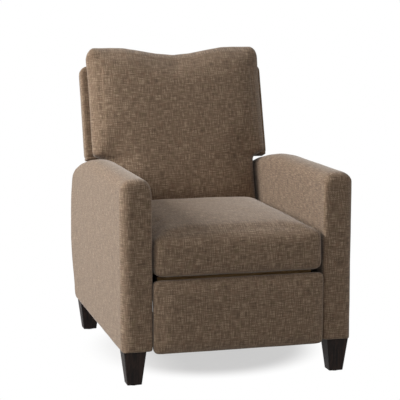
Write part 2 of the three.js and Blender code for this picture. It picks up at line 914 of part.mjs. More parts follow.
// A rivet through the seat plate, with a spacer up to the link and a head outside.
function seatRivet(side, point, linkOuter) {
  const headInner = seatPlateOuter + fitGap;
  return joined(
    rod(point, spacerRadius, onSide(side, linkOuter, seatPlateInner - fitGap)),
    rod(point, rivetRadius, onSide(side, linkOuter, headInner)),
    rod(point, rivetHeadRadius, onSide(side, headInner, headInner + rivetHeadThickness)),
  );
}

function driveLink(side) {
  const holes = onSide(side, driveLayer[0] - fitGap, driveLayer[1] + fitGap);
  const link = cut(
    flatLink(side, drivePivot, knee, driveLayer),
    rod(controlPivot, rivetRadius + pinPlay, holes),
  );
  return joined(link, seatRivet(side, drivePivot, driveLayer[1]));
}

// The cross tube that ties the two drive links together and is the knee's axle.
const kneeTube = () => {
  const halfWidth = driveLayer[0] - fitGap;
  return rod(knee, tubeRadius, [-halfWidth, halfWidth]);
};

function carrierLink(side) {
  const holes = onSide(side, carrierLayer[0] - fitGap, carrierLayer[1] + fitGap);
  const link = joined(
    flatLink(side, knee, footPivot, carrierLayer),
    rod(knee, tubeRadius + steelPlate, onSide(side, ...carrierLayer)),
    rod(footPivot, rivetRadius, onSide(side, carrierLayer[0], driveLayer[1] + fitGap)),
  );
  return cut(link, rod(knee, tubeRadius + pinPlay, holes));
}

// The guide link turns on the seat plate; its far pin stops short of the carrier link.
function guideLink(side) {
  const pinHead = guideLayer[0] - rivetHeadThickness;
  return joined(
    flatLink(side, guidePivot, guideJoint, guideLayer),
    rod(guideJoint, rivetHeadRadius, onSide(side, pinHead, guideLayer[0])),
    rod(guideJoint, rivetRadius, onSide(side, guideLayer[1], carrierLayer[0] - fitGap)),
    seatRivet(side, guidePivot, guideLayer[1]),
  );
}

// The control link turns on the drive link; its far pin stops short of the footrest bracket.
function controlLink(side) {
  return joined(
    flatLink(side, controlPivot, footUpperPivot, controlLayer),
    rod(controlPivot, rivetRadius, onSide(side, driveLayer[0] + fitGap, controlLayer[0])),
    rod(footUpperPivot, rivetRadius, onSide(side, driveLayer[1] + fitGap, controlLayer[0])),
  );
}

// The angle bracket that carries the footrest board on the linkage.
function footrestBracket(side) {
  const front = footboardRear + fitGap;
  const [inner, outer] = driveLayer;
  const middle = footPivot.y + footPivotSpacing / 2;
  const heights = [middle - footBracketHeight / 2, middle + footBracketHeight / 2];
  const ear = block(onSide(side, inner, outer), [front, footPivot.x], [
    footPivot.y - linkWidth / 2,
    footUpperPivot.y + linkWidth / 2,
  ]);
  const flange = block(
    onSide(side, outer - footBracketFlange, outer),
    [front, front + steelPlate],
    heights,
  );
  const round = linkWidth / 2;
  const span = onSide(side, inner, outer);
  const whole = joined(ear, flange, rod(footPivot, round, span), rod(footUpperPivot, round, span));
  const through = onSide(side, inner - fitGap, outer + fitGap);
  return cut(whole, rod(footPivot, rivetRadius + pinPlay, through));
}

function footrestBoard() {
  const halfWidth = footrestWidth - footboardMargin;
  return block([-halfWidth, halfWidth], [footboardFront, footboardRear], [
    footrestBase + footboardMargin,
    footrestTop - footboardMargin,
  ]);
}

// The padded face of the footrest, flat against its board.
function footrestPad() {
  const rear = footboardFront - fitGap;
  const half = new THREE.Vector3(
    footrestWidth,
    (rear - footrestFront) / 2,
    (footrestTop - footrestBase) / 2,
  );
  const middle = new THREE.Vector3(0, rear - half.y, footrestBase + half.z);
  const shares = easedShares(footrestSteps);
  const lists = [shares, easedShares(cushionStepsDeep), shares];
  return softSolid(lists, (across, deep, high) => {
    const point = roundedPoint(new THREE.Vector3(across, deep, high), half, footrestRound);
    if (deep < 0) point.y += footrestCrown * deep * crownShare(across) * crownShare(high);
    return point.add(middle);
  });
}

// Adds a solid to a group as a named mesh.
function add(group, name, solid, material) {
  const mesh = new THREE.Mesh(geometryFrom(solid), material);
  mesh.name = name;
  group.add(mesh);
}

function addArms(group) {
  const frontPost = [frontPostFront, frontPostDepth];
  const rearPost = [rearPostFront, rearPostDepth];
  for (const [name, side] of Object.entries(sides)) {
    add(group, name + "_arm_cover", armCover(side), tweed);
    add(group, name + "_arm_front_post", armPost(side, frontPost, armPostTop, frontLegDepth), hardwood);
    add(group, name + "_arm_rear_post", armPost(side, rearPost, rearPostTop, rearLegDepth), hardwood);
    add(group, name + "_arm_panel", armPanel(side), plywood);
    add(group, name + "_arm_top_rail", armTopRail(side), hardwood);
  }
}

function addLegs(group) {
  for (const [end, depth] of Object.entries({ front: frontLegDepth, rear: rearLegDepth })) {
    for (const [name, side] of Object.entries(sides)) {
      const title = end + "_" + name + "_leg";
      add(group, title, leg(side, depth), espressoWood);
      add(group, title + "_glide", glide(side, depth), nylon);
      add(group, title + "_bolt", legBolt(side, depth), zinc);
    }
  }
}

function addCrossPieces(group) {
  const frontRail = crossRail(frontRailDepth, frontRailBase, frontRailHeight);
  const rearRail = crossRail(rearRailDepth, rearRailBase, rearRailHeight);
  add(group, "front_cross_rail", frontRail, hardwood);
  add(group, "rear_cross_rail", rearRail, hardwood);
  add(group, "rear_apron", rearApron(), tweed);
}

function addRunners(group) {
  const runners = new THREE.Group();
  runners.position.set(0, runnerDepth, seatDeckHeight - runnerDrop);
  runners.rotation.x = -slideTilt * degrees;
  for (const [name, side] of Object.entries(sides)) {
    add(runners, name + "_slide_channel", slideChannel(side), steel);
    add(runners, name + "_slide_bar", slideBar(side), nylon);
  }
  group.add(runners);
}

function addSeat(group) {
  for (const [name, side] of Object.entries(sides)) {
    add(group, name + "_seat_plate", seatPlate(side), steel);
  }
  add(group, "seat_front_rail", seatRail(seatFrontRailDepth), hardwood);
  add(group, "seat_rear_rail", seatRail(seatRearRailDepth), hardwood);
  add(group, "seat_webbing", seatWebbing(), webbing);
  add(group, "seat_cushion", seatCushion(), tweed);
}

function addBack(group) {
  const back = new THREE.Group();
  back.position.set(0, hinge.x, hinge.y);
  back.rotation.x = -backLean * degrees;
  for (const [name, side] of Object.entries(sides)) {
    add(back, name + "_back_post", backPost(side), hardwood);
    add(back, name + "_wing_block", wingBlock(side), hardwood);
    add(back, name + "_back_bracket", backBracket(side), steel);
  }
  add(back, "back_top_rail", backTopRail(), hardwood);
  add(back, "back_bottom_rail", backBottomRail(), hardwood);
  add(back, "back_webbing", backWebbing(), webbing);
  add(back, "back_cushion", backCushion(), tweed);
  add(back, "outside_back", outsideBack(), tweed);
  group.add(back);
}

function addFootrest(group) {
  for (const [name, side] of Object.entries(sides)) {
    add(group, name + "_drive_link", driveLink(side), steel);
    add(group, name + "_carrier_link", carrierLink(side), steel);
    add(group, name + "_guide_link", guideLink(side), steel);
    add(group, name + "_control_link", controlLink(side), steel);
    add(group, name + "_footrest_bracket", footrestBracket(side), steel);
  }
  add(group, "knee_tube", kneeTube(), zinc);
  add(group, "footrest_board", footrestBoard(), plywood);
  add(group, "footrest_pad", footrestPad(), tweed);
}

const chair = new THREE.Group();
addArms(chair);
addLegs(chair);
addCrossPieces(chair);
addRunners(chair);
addSeat(chair);
addBack(chair);
addFootrest(chair);

// The chair stands on its origin, in the middle of its width and of its depth.
const extent = new THREE.Box3().setFromObject(chair, true);
chair.position.y = -(extent.min.y + extent.max.y) / 2;
const recliner = new THREE.Group();
recliner.add(chair);

export default recliner;
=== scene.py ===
"""Dresses the recliner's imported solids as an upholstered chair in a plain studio.

Sizes are written in millimetres and turned to metres by mm(). The chair faces -Y and stands on
Z = 0, with X = 0 midway between its arms.
"""

import json
import logging
import math
from contextlib import contextmanager
from dataclasses import dataclass, field
from enum import Enum
from typing import Any, Callable, Iterator, Optional, Sequence

import bmesh
import bpy
import numpy as np
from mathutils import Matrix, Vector

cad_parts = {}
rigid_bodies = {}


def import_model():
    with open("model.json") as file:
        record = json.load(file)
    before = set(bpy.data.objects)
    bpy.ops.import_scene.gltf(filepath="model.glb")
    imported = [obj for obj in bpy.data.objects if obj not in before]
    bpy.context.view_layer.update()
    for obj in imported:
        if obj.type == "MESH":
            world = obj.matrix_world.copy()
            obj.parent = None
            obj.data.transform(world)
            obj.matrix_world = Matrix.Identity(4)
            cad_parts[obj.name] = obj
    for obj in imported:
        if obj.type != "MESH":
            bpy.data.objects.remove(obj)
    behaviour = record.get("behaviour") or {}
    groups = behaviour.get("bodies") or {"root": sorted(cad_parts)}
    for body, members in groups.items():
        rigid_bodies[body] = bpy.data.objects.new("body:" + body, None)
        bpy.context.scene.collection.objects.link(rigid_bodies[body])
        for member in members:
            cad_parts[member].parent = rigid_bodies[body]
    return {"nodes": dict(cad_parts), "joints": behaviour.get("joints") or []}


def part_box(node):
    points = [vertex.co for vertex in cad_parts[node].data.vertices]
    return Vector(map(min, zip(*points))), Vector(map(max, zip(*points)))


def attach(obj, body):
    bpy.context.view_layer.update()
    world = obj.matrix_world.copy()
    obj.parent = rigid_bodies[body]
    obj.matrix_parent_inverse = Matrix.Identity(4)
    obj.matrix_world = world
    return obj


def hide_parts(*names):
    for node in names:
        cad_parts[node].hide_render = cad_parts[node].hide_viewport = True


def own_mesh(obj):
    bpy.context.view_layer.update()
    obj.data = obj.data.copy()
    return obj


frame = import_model()

log = logging.getLogger("recliner")

FAR = 1000.0
Points = np.ndarray
Settings = dict[Any, Any]


def mm(length: float) -> float:
    """Turns millimetres into metres."""
    return length / 1000


def linear(code: str, alpha: float = 1.0) -> tuple[float, float, float, float]:
    """Turns an sRGB hex colour into linear values.

    Args:
        code: Six hex digits.
        alpha: The fourth value of the result.

    Returns:
        Red, green, blue and alpha.
    """
    shares = [int(code[i : i + 2], 16) / 255 for i in (0, 2, 4)]
    red, green, blue = (
        ((share + 0.055) / 1.055) ** 2.4 if share > 0.04045 else share / 12.92
        for share in shares
    )
    return red, green, blue, alpha


def add_node(
    tree: bpy.types.NodeTree, kind: str, settings: Optional[Settings] = None
) -> bpy.types.Node:
    """Adds a node to a tree with its settings and links.

    Args:
        tree: The tree of a material, a world or a group.
        kind: Blender's name for the type of node.
        settings: Properties by name, and constants or output sockets by the name or number of
            the input that they reach.

    Returns:
        The new node.
    """
    made = tree.nodes.new(kind)
    reached = {}
    for key, value in (settings or {}).items():
        if isinstance(key, str) and hasattr(made, key):
            setattr(made, key, value)
        else:
            reached[key] = value
    for key, value in reached.items():
        if isinstance(value, bpy.types.NodeSocket):
            tree.links.new(value, made.inputs[key])
        else:
            made.inputs[key].default_value = value
    return made


def new_material(name: str) -> tuple[bpy.types.Material, bpy.types.NodeTree]:
    """Makes an empty node material.

    Args:
        name: The finish's name.

    Returns:
        The material and its tree.
    """
    material = bpy.data.materials.new(name)
    material.use_nodes = True
    material.node_tree.nodes.clear()
    return material, material.node_tree


def close_material(tree: bpy.types.NodeTree, settings: Settings) -> None:
    """Ends a material's tree with a Principled shader and its output."""
    shader = add_node(tree, "ShaderNodeBsdfPrincipled", settings)
    add_node(tree, "ShaderNodeOutputMaterial", {"Surface": shader.outputs[0]})


def compute(
    tree: bpy.types.NodeTree, operation: str, *values: Any, vector: bool = False
) -> bpy.types.NodeSocket:
    """Adds a Math or Vector Math node.

    Args:
        tree: The tree that gets the node.
        operation: Blender's name for what it does.
        values: Its inputs in order, each a socket or a constant.
        vector: Whether it works on vectors.

    Returns:
        The result.
    """
    kind = "ShaderNodeVectorMath" if vector else "ShaderNodeMath"
    made = add_node(tree, kind, {"operation": operation, **dict(enumerate(values))})
    return made.outputs["Value" if operation in ("LENGTH", "DOT_PRODUCT") else 0]


def fitted(
    tree: bpy.types.NodeTree,
    value: bpy.types.NodeSocket,
    span: tuple[float, float],
    result: tuple[float, float],
    **settings: Any,
) -> bpy.types.NodeSocket:
    """Adds a node that maps one span of values to another.

    Args:
        tree: The tree that gets the node.
        value: What it maps.
        span: The two ends of the values that come in.
        result: What the ends become.
        settings: Its properties.

    Returns:
        The mapped value.
    """
    numbers = dict(zip(("From Min", "From Max", "To Min", "To Max"), (*span, *result)))
    return add_node(
        tree, "ShaderNodeMapRange", {**settings, **numbers, "Value": value}
    ).outputs[0]


def add_noise(
    tree: bpy.types.NodeTree, place: bpy.types.NodeSocket, scale: float, **settings: Any
) -> bpy.types.Node:
    """Adds a noise texture whose settings are named by its sockets and properties."""
    return add_node(tree, "ShaderNodeTexNoise", {"Vector": place, "Scale": scale, **settings})


def stretched(
    tree: bpy.types.NodeTree,
    place: bpy.types.NodeSocket,
    scale: tuple[float, float, float],
    shift: tuple[float, float, float] = (0.0, 0.0, 0.0),
) -> bpy.types.NodeSocket:
    """Adds a Mapping node.

    Args:
        tree: The tree that gets the node.
        place: The coordinates that it reads.
        scale: What they are multiplied by.
        shift: What is then added.

    Returns:
        The new coordinates.
    """
    settings = {"Vector": place, "Scale": scale, "Location": shift}
    return add_node(tree, "ShaderNodeMapping", settings).outputs[0]


def bumped(
    tree: bpy.types.NodeTree, height: bpy.types.NodeSocket, strength: float, relief: float
) -> bpy.types.NodeSocket:
    """Adds a Bump node whose relief is in millimetres."""
    settings = {"Strength": strength, "Distance": mm(relief), "Height": height}
    return add_node(tree, "ShaderNodeBump", settings).outputs[0]


def mix_colours(
    tree: bpy.types.NodeTree, share: bpy.types.NodeSocket, first: Any, second: Any
) -> bpy.types.NodeSocket:
    """Adds a mix of two colours, each a socket or a constant."""
    settings = {"data_type": "RGBA", "Factor": share, 6: first, 7: second}
    return add_node(tree, "ShaderNodeMix", settings).outputs[2]


def split(tree: bpy.types.NodeTree, vector: bpy.types.NodeSocket) -> Any:
    """Splits a vector into the three outputs of a Separate XYZ node."""
    return add_node(tree, "ShaderNodeSeparateXYZ", {0: vector}).outputs


def wave_along(
    tree: bpy.types.NodeTree, value: bpy.types.NodeSocket, half_length: float
) -> bpy.types.NodeSocket:
    """Adds a sine wave of a value, with half its length in millimetres."""
    return compute(tree, "SINE", compute(tree, "MULTIPLY", value, math.pi / mm(half_length)))


def colour_ramp(
    tree: bpy.types.NodeTree,
    factor: bpy.types.NodeSocket,
    stops: Sequence[tuple[float, str]],
) -> bpy.types.NodeSocket:
    """Adds a colour ramp whose stops are hex colours.

    Args:
        tree: The tree that gets the node.
        factor: What the ramp reads.
        stops: Positions from 0 to 1 with their colours.

    Returns:
        The colour.
    """
    made = add_node(tree, "ShaderNodeValToRGB", {"Fac": factor})
    elements = made.color_ramp.elements
    while len(elements) < len(stops):
        elements.new(0.5)
    for element, (position, code) in zip(elements, stops):
        element.position = position
        element.color = linear(code)
    return made.outputs[0]


# Finishes


@dataclass(frozen=True)
class Tweed:
    """Slub-woven upholstery cloth, plain weave, in brown-taupe yarns of several shades.

    Uneven yarns give the eye short streaks both ways, and raised fibres give soft edges a sheen.
    The yarns are drawn 3.4 mm apart, about twice as coarse as woven, so that they show.
    """

    name: str = "slub_tweed"
    dark_yarn: str = "5C4B3C"
    ground_yarn: str = "7B6551"
    pale_yarn: str = "A58F78"
    olive_yarn: str = "766A49"
    russet_yarn: str = "84614B"
    yarn_pitch: float = 3.4
    slub_width: float = 2.8
    slub_length: float = 30.0
    fleck_size: float = 22.0
    fleck_share: float = 0.22
    wander: float = 3.0
    wander_size: float = 90.0
    # How much lighter the yarns' crests are painted than their hollows: painted shade between the
    # yarns.
    hollow_painted_shade: float = 0.09
    crest_height: float = 0.55
    relief: float = 0.5

    def weave(self) -> bpy.types.NodeTree:
        """Makes the group that draws the weave on one plane.

        Returns:
            A group with a place on the plane as its input, and a colour and a height as outputs.
        """
        group = bpy.data.node_groups.new(self.name + "_weave", "ShaderNodeTree")
        group.interface.new_socket("Place", in_out="INPUT", socket_type="NodeSocketVector")
        group.interface.new_socket("Colour", in_out="OUTPUT", socket_type="NodeSocketColor")
        group.interface.new_socket("Height", in_out="OUTPUT", socket_type="NodeSocketFloat")
        laid = self.wandered(group, add_node(group, "NodeGroupInput").outputs["Place"])
        apart = split(group, laid)
        waves = [wave_along(group, apart[axis], self.yarn_pitch) for axis in (0, 1)]
        over = fitted(group, compute(group, "MULTIPLY", *waves), (-1.0, 1.0), (0.22, 0.78))
        yarn = self.mixed(group, over, self.yarn_shades(group, laid))
        crests = [compute(group, "ABSOLUTE", wave) for wave in waves]
        profile = self.mixed(group, over, crests)
        # The hollows between yarns are painted a little darker than their crests: painted shade in
        # the weave's hollows.
        tone = compute(group, "MULTIPLY_ADD", profile, self.hollow_painted_shade, yarn)
        colour = colour_ramp(
            group,
            tone,
            [
                (0.36, self.dark_yarn),
                (0.53, self.ground_yarn),
                (0.57, self.ground_yarn),
                (0.75, self.pale_yarn),
            ],
        )
        drawn = {
            "Colour": self.flecked(group, laid, colour),
            "Height": compute(group, "MULTIPLY_ADD", profile, self.crest_height, yarn),
        }
        add_node(group, "NodeGroupOutput", drawn)
        return group

    def wandered(
        self, group: bpy.types.NodeTree, place: bpy.types.NodeSocket
    ) -> bpy.types.NodeSocket:
        """Shifts the places a little, so that the yarns don't run dead straight."""
        drift = add_noise(group, place, 1 / mm(self.wander_size), Detail=1.0).outputs["Color"]
        return compute(group, "MULTIPLY_ADD", drift, (mm(self.wander),) * 3, place, vector=True)

    def yarn_shades(
        self, group: bpy.types.NodeTree, laid: bpy.types.NodeSocket
    ) -> list[bpy.types.NodeSocket]:
        """Draws the two sets of yarns' shades, as streaks along each.

        Args:
            group: The weave's tree.
            laid: Where a point lies on the cloth.

        Returns:
            The shade of the upright yarns and of the level ones.
        """
        narrow, long = 1 / mm(self.slub_width), 1 / mm(self.slub_length)
        shades = []
        for scale in ((narrow, long, 1.0), (long, narrow, 1.0)):
            place = stretched(group, laid, scale, (scale[1], scale[0], 0))
            settings = {"noise_dimensions": "2D", "Detail": 1.0, "Roughness": 0.5}
            shades.append(add_noise(group, place, 1.0, **settings).outputs[0])
        return shades

    @staticmethod
    def mixed(
        group: bpy.types.NodeTree,
        over: bpy.types.NodeSocket,
        pair: Sequence[bpy.types.NodeSocket],
    ) -> bpy.types.NodeSocket:
        """Takes one of two values, by which set of yarns lies over the other."""
        settings = {"data_type": "FLOAT", "Factor": over, 2: pair[0], 3: pair[1]}
        return add_node(group, "ShaderNodeMix", settings).outputs[0]

    def flecked(
        self,
        group: bpy.types.NodeTree,
        laid: bpy.types.NodeSocket,
        colour: bpy.types.NodeSocket,
    ) -> bpy.types.NodeSocket:
        """Tints patches of the cloth with its olive and russet yarns.

        Args:
            group: The weave's tree.
            laid: Where a point lies on the cloth.
            colour: The colour before the tints.

        Returns:
            The tinted colour.
        """
        scale = 1 / mm(self.fleck_size)
        fleck = add_noise(group, laid, scale, Detail=3.0, Roughness=0.65).outputs[0]
        for span, code in (((0.45, 0.32), self.olive_yarn), ((0.55, 0.68), self.russet_yarn)):
            share = fitted(group, fleck, span, (0.0, self.fleck_share))
            colour = mix_colours(group, share, colour, linear(code))
        return colour

    def material(self) -> bpy.types.Material:
        """Lays the weave on a piece from its three sides, blended where the sides meet.

        Returns:
            The cloth's material.
        """
        material, tree = new_material(self.name)
        group = self.weave()
        where = add_node(tree, "ShaderNodeTexCoord")
        apart = split(tree, where.outputs["Object"])
        weight = compute(tree, "ABSOLUTE", where.outputs["Normal"], vector=True)
        for _ in range(3):
            weight = compute(tree, "MULTIPLY", weight, weight, vector=True)
        total = compute(tree, "DOT_PRODUCT", weight, (1.0, 1.0, 1.0), vector=True)
        weights = split(tree, weight)
        colour: Any = (0.0, 0.0, 0.0)
        height: Any = 0.0
        for axis, (across, along) in enumerate(((1, 2), (0, 2), (0, 1))):
            seen_from = {0: apart[across], 1: apart[along]}
            place = add_node(tree, "ShaderNodeCombineXYZ", seen_from).outputs[0]
            settings = {"node_tree": group, "Place": place}
            drawn = add_node(tree, "ShaderNodeGroup", settings).outputs
            share = compute(tree, "DIVIDE", weights[axis], total)
            colour = compute(tree, "MULTIPLY_ADD", drawn["Colour"], share, colour, vector=True)
            height = compute(tree, "MULTIPLY_ADD", drawn["Height"], share, height)
        settings = {
            "Base Color": colour,
            "Roughness": fitted(tree, height, (0.3, 1.2), (0.98, 0.86)),
            "Normal": bumped(tree, height, 0.4, self.relief),
            "IOR": 1.46,
            "Specular IOR Level": 0.3,
            "Sheen Weight": 0.5,
            "Sheen Roughness": 0.5,
            "Sheen Tint": linear("D8D2CC"),
        }
        close_material(tree, settings)
        return material


class Grain(Enum):
    """The axis that a board's grain runs along."""

    ALONG_X = 0
    ALONG_Y = 1
    ALONG_Z = 2

    def stretch(self, across: float, along: float) -> tuple[float, float, float]:
        """Gives the scale that draws a pattern out along the grain.

        Args:
            across: The pattern's size across the grain, in millimetres.
            along: Its size along the grain, in millimetres.

        Returns:
            Scales for a Mapping node.
        """
        scale = [1 / mm(across)] * 3
        scale[self.value] = 1 / mm(along)
        return scale[0], scale[1], scale[2]


@dataclass(frozen=True)
class Wood:
    """Solid wood or veneer: a grain of long streaks, with pores that take a little gloss away."""

    name: str
    dark: str
    ground: str
    pale: str
    roughness: float
    grain: Grain
    ring_width: float = 9.0
    ring_length: float = 260.0
    pore_width: float = 0.9
    pore_length: float = 14.0
    relief: float = 0.15
    shine: float = 0.5

    def material(self) -> bpy.types.Material:
        """Draws the grain and pores, with the finish's own roughness and shine.

        Returns:
            The wood's material.
        """
        material, tree = new_material(self.name)
        where = add_node(tree, "ShaderNodeTexCoord").outputs["Object"]
        rings = stretched(tree, where, self.grain.stretch(self.ring_width, self.ring_length))
        waviness = {"Detail": 4.0, "Roughness": 0.6, "Distortion": 0.6}
        figure = add_noise(tree, rings, 1.0, **waviness).outputs[0]
        fine = stretched(tree, where, self.grain.stretch(self.pore_width, self.pore_length))
        pores = add_noise(tree, fine, 1.0, Detail=2.0).outputs[0]
        mixed = compute(tree, "MULTIPLY_ADD", pores, 0.25, figure)
        stops = [(0.48, self.dark), (0.62, self.ground), (0.76, self.pale)]
        gloss = (self.roughness + 0.08, self.roughness - 0.04)
        settings = {
            "Base Color": colour_ramp(tree, mixed, stops),
            "Roughness": fitted(tree, pores, (0.3, 0.7), gloss),
            "Normal": bumped(tree, pores, 0.35, self.relief),
            "IOR": 1.5,
            "Specular IOR Level": self.shine,
        }
        close_material(tree, settings)
        return material


@dataclass(frozen=True)
class Plywood:
    """Birch plywood: pale veneer faces, and edges that show its plies in turn."""

    name: str = "birch_plywood"
    face: str = "C8A878"
    streak: str = "B18E5C"
    ply: str = "8E6C42"
    ply_thickness: float = 1.5
    relief: float = 0.2
    thickness_axis: Grain = Grain.ALONG_X

    def material(self) -> bpy.types.Material:
        """Draws veneer on the faces and plies on the edges, told apart by which way they face.

        Returns:
            The plywood's material.
        """
        material, tree = new_material(self.name)
        where = add_node(tree, "ShaderNodeTexCoord").outputs
        long = stretched(tree, where["Object"], Grain.ALONG_Z.stretch(7.0, 240.0))
        figure = add_noise(tree, long, 1.0, Detail=4.0, Distortion=0.8).outputs[0]
        veneer = colour_ramp(tree, figure, [(0.38, self.streak), (0.6, self.face)])
        axis = self.thickness_axis.value
        layers = wave_along(tree, split(tree, where["Object"])[axis], self.ply_thickness)
        edges = colour_ramp(tree, layers, [(0.4, self.ply), (0.6, self.face)])
        facing = compute(tree, "ABSOLUTE", split(tree, where["Normal"])[axis])
        settings = {
            "Base Color": mix_colours(tree, facing, edges, veneer),
            "Normal": bumped(tree, figure, 0.3, self.relief),
            "IOR": 1.5,
            "Roughness": 0.72,
        }
        close_material(tree, settings)
        return material


@dataclass(frozen=True)
class Coated:
    """A pressed, plated or moulded surface: one tone, mottled a little, with its own fine grit."""

    name: str
    dark: str
    pale: str
    metallic: float
    roughness: float
    mottle: float
    grit: float
    relief: float

    def material(self) -> bpy.types.Material:
        """Draws the mottling and the grit, with the metal and gloss set on the shader.

        Returns:
            The surface's material.
        """
        material, tree = new_material(self.name)
        where = add_node(tree, "ShaderNodeTexCoord").outputs["Object"]
        patches = add_noise(tree, where, 1 / mm(self.mottle), Detail=3.0).outputs[0]
        grit = add_noise(tree, where, 1 / mm(self.grit), Detail=2.0).outputs[0]
        gloss = (self.roughness - 0.06, self.roughness + 0.1)
        settings = {
            "Base Color": colour_ramp(tree, patches, [(0.35, self.dark), (0.65, self.pale)]),
            "Roughness": fitted(tree, patches, (0.3, 0.7), gloss),
            "Normal": bumped(tree, grit, 0.25, self.relief),
            "Metallic": self.metallic,
        }
        close_material(tree, settings)
        return material


@dataclass(frozen=True)
class Webbing:
    """Jute webbing: coarse matt yarns whose ribs run along and across the straps."""

    name: str = "jute_webbing"
    dark: str = "5C4A35"
    pale: str = "A08A68"
    rib: float = 3.4
    yarn_size: float = 5.0
    relief: float = 0.6

    def material(self) -> bpy.types.Material:
        """Draws the ribs from crossing waves, broken up by the yarns' unevenness.

        Returns:
            The webbing's material.
        """
        material, tree = new_material(self.name)
        where = add_node(tree, "ShaderNodeTexCoord").outputs["Object"]
        waves = [wave_along(tree, value, self.rib) for value in split(tree, where)]
        total = compute(tree, "ADD", compute(tree, "ADD", waves[0], waves[1]), waves[2])
        uneven = add_noise(tree, where, 1 / mm(self.yarn_size), Detail=3.0).outputs[0]
        mixed = compute(tree, "MULTIPLY_ADD", total, 0.12, uneven)
        settings = {
            "Base Color": colour_ramp(tree, mixed, [(0.3, self.dark), (0.7, self.pale)]),
            "Normal": bumped(tree, mixed, 0.6, self.relief),
            "Roughness": 0.92,
            "Specular IOR Level": 0.2,
        }
        close_material(tree, settings)
        return material


class Finishes:
    """Every finish of the chair, each made into a material once."""

    def __init__(self) -> None:
        """Makes the materials."""
        self.tweed = Tweed().material()
        self.webbing = Webbing().material()
        # Stained nearly black and rubbed with wax: the grain only just shows, and the gloss is low.
        self.espresso = Wood(
            "espresso_stained_wood", "100B09", "1F1714", "30241F", 0.55, Grain.ALONG_Z, shine=0.15
        ).material()
        # Planed and left bare: pale, with no gloss to speak of.
        bare = ("98744A", "B8935F", "CCA877", 0.68)
        self.board_across = Wood("planed_hardwood_across", *bare, Grain.ALONG_X).material()
        self.board_deep = Wood("planed_hardwood_deep", *bare, Grain.ALONG_Y).material()
        self.board_upright = Wood("planed_hardwood_upright", *bare, Grain.ALONG_Z).material()
        self.panel = Plywood().material()
        self.footboard = Plywood("birch_plywood_board", thickness_axis=Grain.ALONG_Y).material()
        # Enamelled pressed steel: dark, a little glossy, with the faint peel of sprayed paint.
        self.enamel = Coated(
            "enamelled_steel", "18191A", "26282A", 0.0, 0.42, 18.0, 0.8, 0.08
        ).material()
        # Bright zinc plate: grey metal with the cloudy patches of the plating bath.
        self.zinc = Coated(
            "zinc_plated_steel", "85888A", "AEB1B3", 1.0, 0.34, 6.0, 0.5, 0.05
        ).material()
        # Moulded nylon: black and waxy, with the mould's fine spark texture.
        self.nylon = Coated(
            "moulded_nylon", "141414", "222222", 0.0, 0.46, 25.0, 0.6, 0.06
        ).material()


# Work on meshes


def select_only(piece: bpy.types.Object) -> None:
    """Deselects everything, then selects one object and makes it active.

    Args:
        piece: The object.
    """
    for other in bpy.context.view_layer.objects:
        other.select_set(False)
    piece.select_set(True)
    bpy.context.view_layer.objects.active = piece


def apply_modifier(piece: bpy.types.Object, kind: str, **settings: Any) -> None:
    """Adds a modifier with its settings and applies it.

    Args:
        piece: The object that it shapes.
        kind: Blender's name for the type of modifier.
        settings: Its properties.
    """
    select_only(piece)
    modifier = piece.modifiers.new(kind.lower(), kind)
    for key, value in settings.items():
        setattr(modifier, key, value)
    bpy.ops.object.modifier_apply(modifier=modifier.name)


def read_vectors(piece: bpy.types.Object, what: str) -> Points:
    """Reads one kind of vector at a mesh's vertices.

    Args:
        piece: The object.
        what: "co" for the vertices' places, or "normal" for their normals.

    Returns:
        Rows of x, y and z.
    """
    flat = np.empty(len(piece.data.vertices) * 3, np.float32)
    piece.data.vertices.foreach_get(what, flat)
    return flat.reshape(-1, 3).astype(float)


def read_points(piece: bpy.types.Object) -> Points:
    """Reads a mesh's vertices as rows of x, y and z."""
    return read_vectors(piece, "co")


def write_points(piece: bpy.types.Object, points: Points) -> None:
    """Writes rows of x, y and z to a mesh's vertices."""
    piece.data.vertices.foreach_set("co", points.astype(np.float32).ravel())
    piece.data.update()


def clothe(piece: bpy.types.Object, cloth: bpy.types.Material) -> None:
    """Shades a cover smooth and gives it its cloth.

    Args:
        piece: The cover.
        cloth: Its material.
    """
    for polygon in piece.data.polygons:
        polygon.use_smooth = True
    piece.data.materials.clear()
    piece.data.materials.append(cloth)


def copy_solid(node: str, name: str) -> bpy.types.Object:
    """Copies a CAD node's mesh into a new object, with its loose triangles merged.

    Args:
        node: The CAD node.
        name: The new piece.

    Returns:
        The new object, at the origin as the node is.
    """
    mesh = frame["nodes"][node].data.copy()
    mesh.name = name
    mesh.materials.clear()
    work = bmesh.new()
    work.from_mesh(mesh)
    bmesh.ops.remove_doubles(work, verts=work.verts, dist=mm(0.02))
    work.to_mesh(mesh)
    work.free()
    for attribute in [a for a in mesh.attributes if a.name == "custom_normal"]:
        mesh.attributes.remove(attribute)
    piece = bpy.data.objects.new(name, mesh)
    bpy.context.scene.collection.objects.link(piece)
    return piece


def add_block(name: str, low: Sequence[float], high: Sequence[float]) -> bpy.types.Object:
    """Adds a block between two corners, with its place in its mesh.

    Args:
        name: The new piece.
        low: Its lowest corner, in millimetres.
        high: Its highest corner.

    Returns:
        The new object.
    """
    bpy.ops.object.select_all(action="DESELECT")
    middle = [mm(a + b) / 2 for a, b in zip(low, high)]
    bpy.ops.mesh.primitive_cube_add(size=1, location=middle)
    bpy.ops.transform.resize(value=[mm(b - a) for a, b in zip(low, high)])
    bpy.ops.object.transform_apply(location=True, rotation=True, scale=True)
    piece = bpy.context.active_object
    piece.name = name
    piece.data.name = name
    return piece


@contextmanager
def editing(piece: bpy.types.Object) -> Iterator[None]:
    """Holds one piece in edit mode while its shape is worked on.

    Args:
        piece: The piece.

    Yields:
        Nothing, once the piece is in edit mode.
    """
    select_only(piece)
    bpy.ops.object.mode_set(mode="EDIT")
    yield
    bpy.ops.object.mode_set(mode="OBJECT")


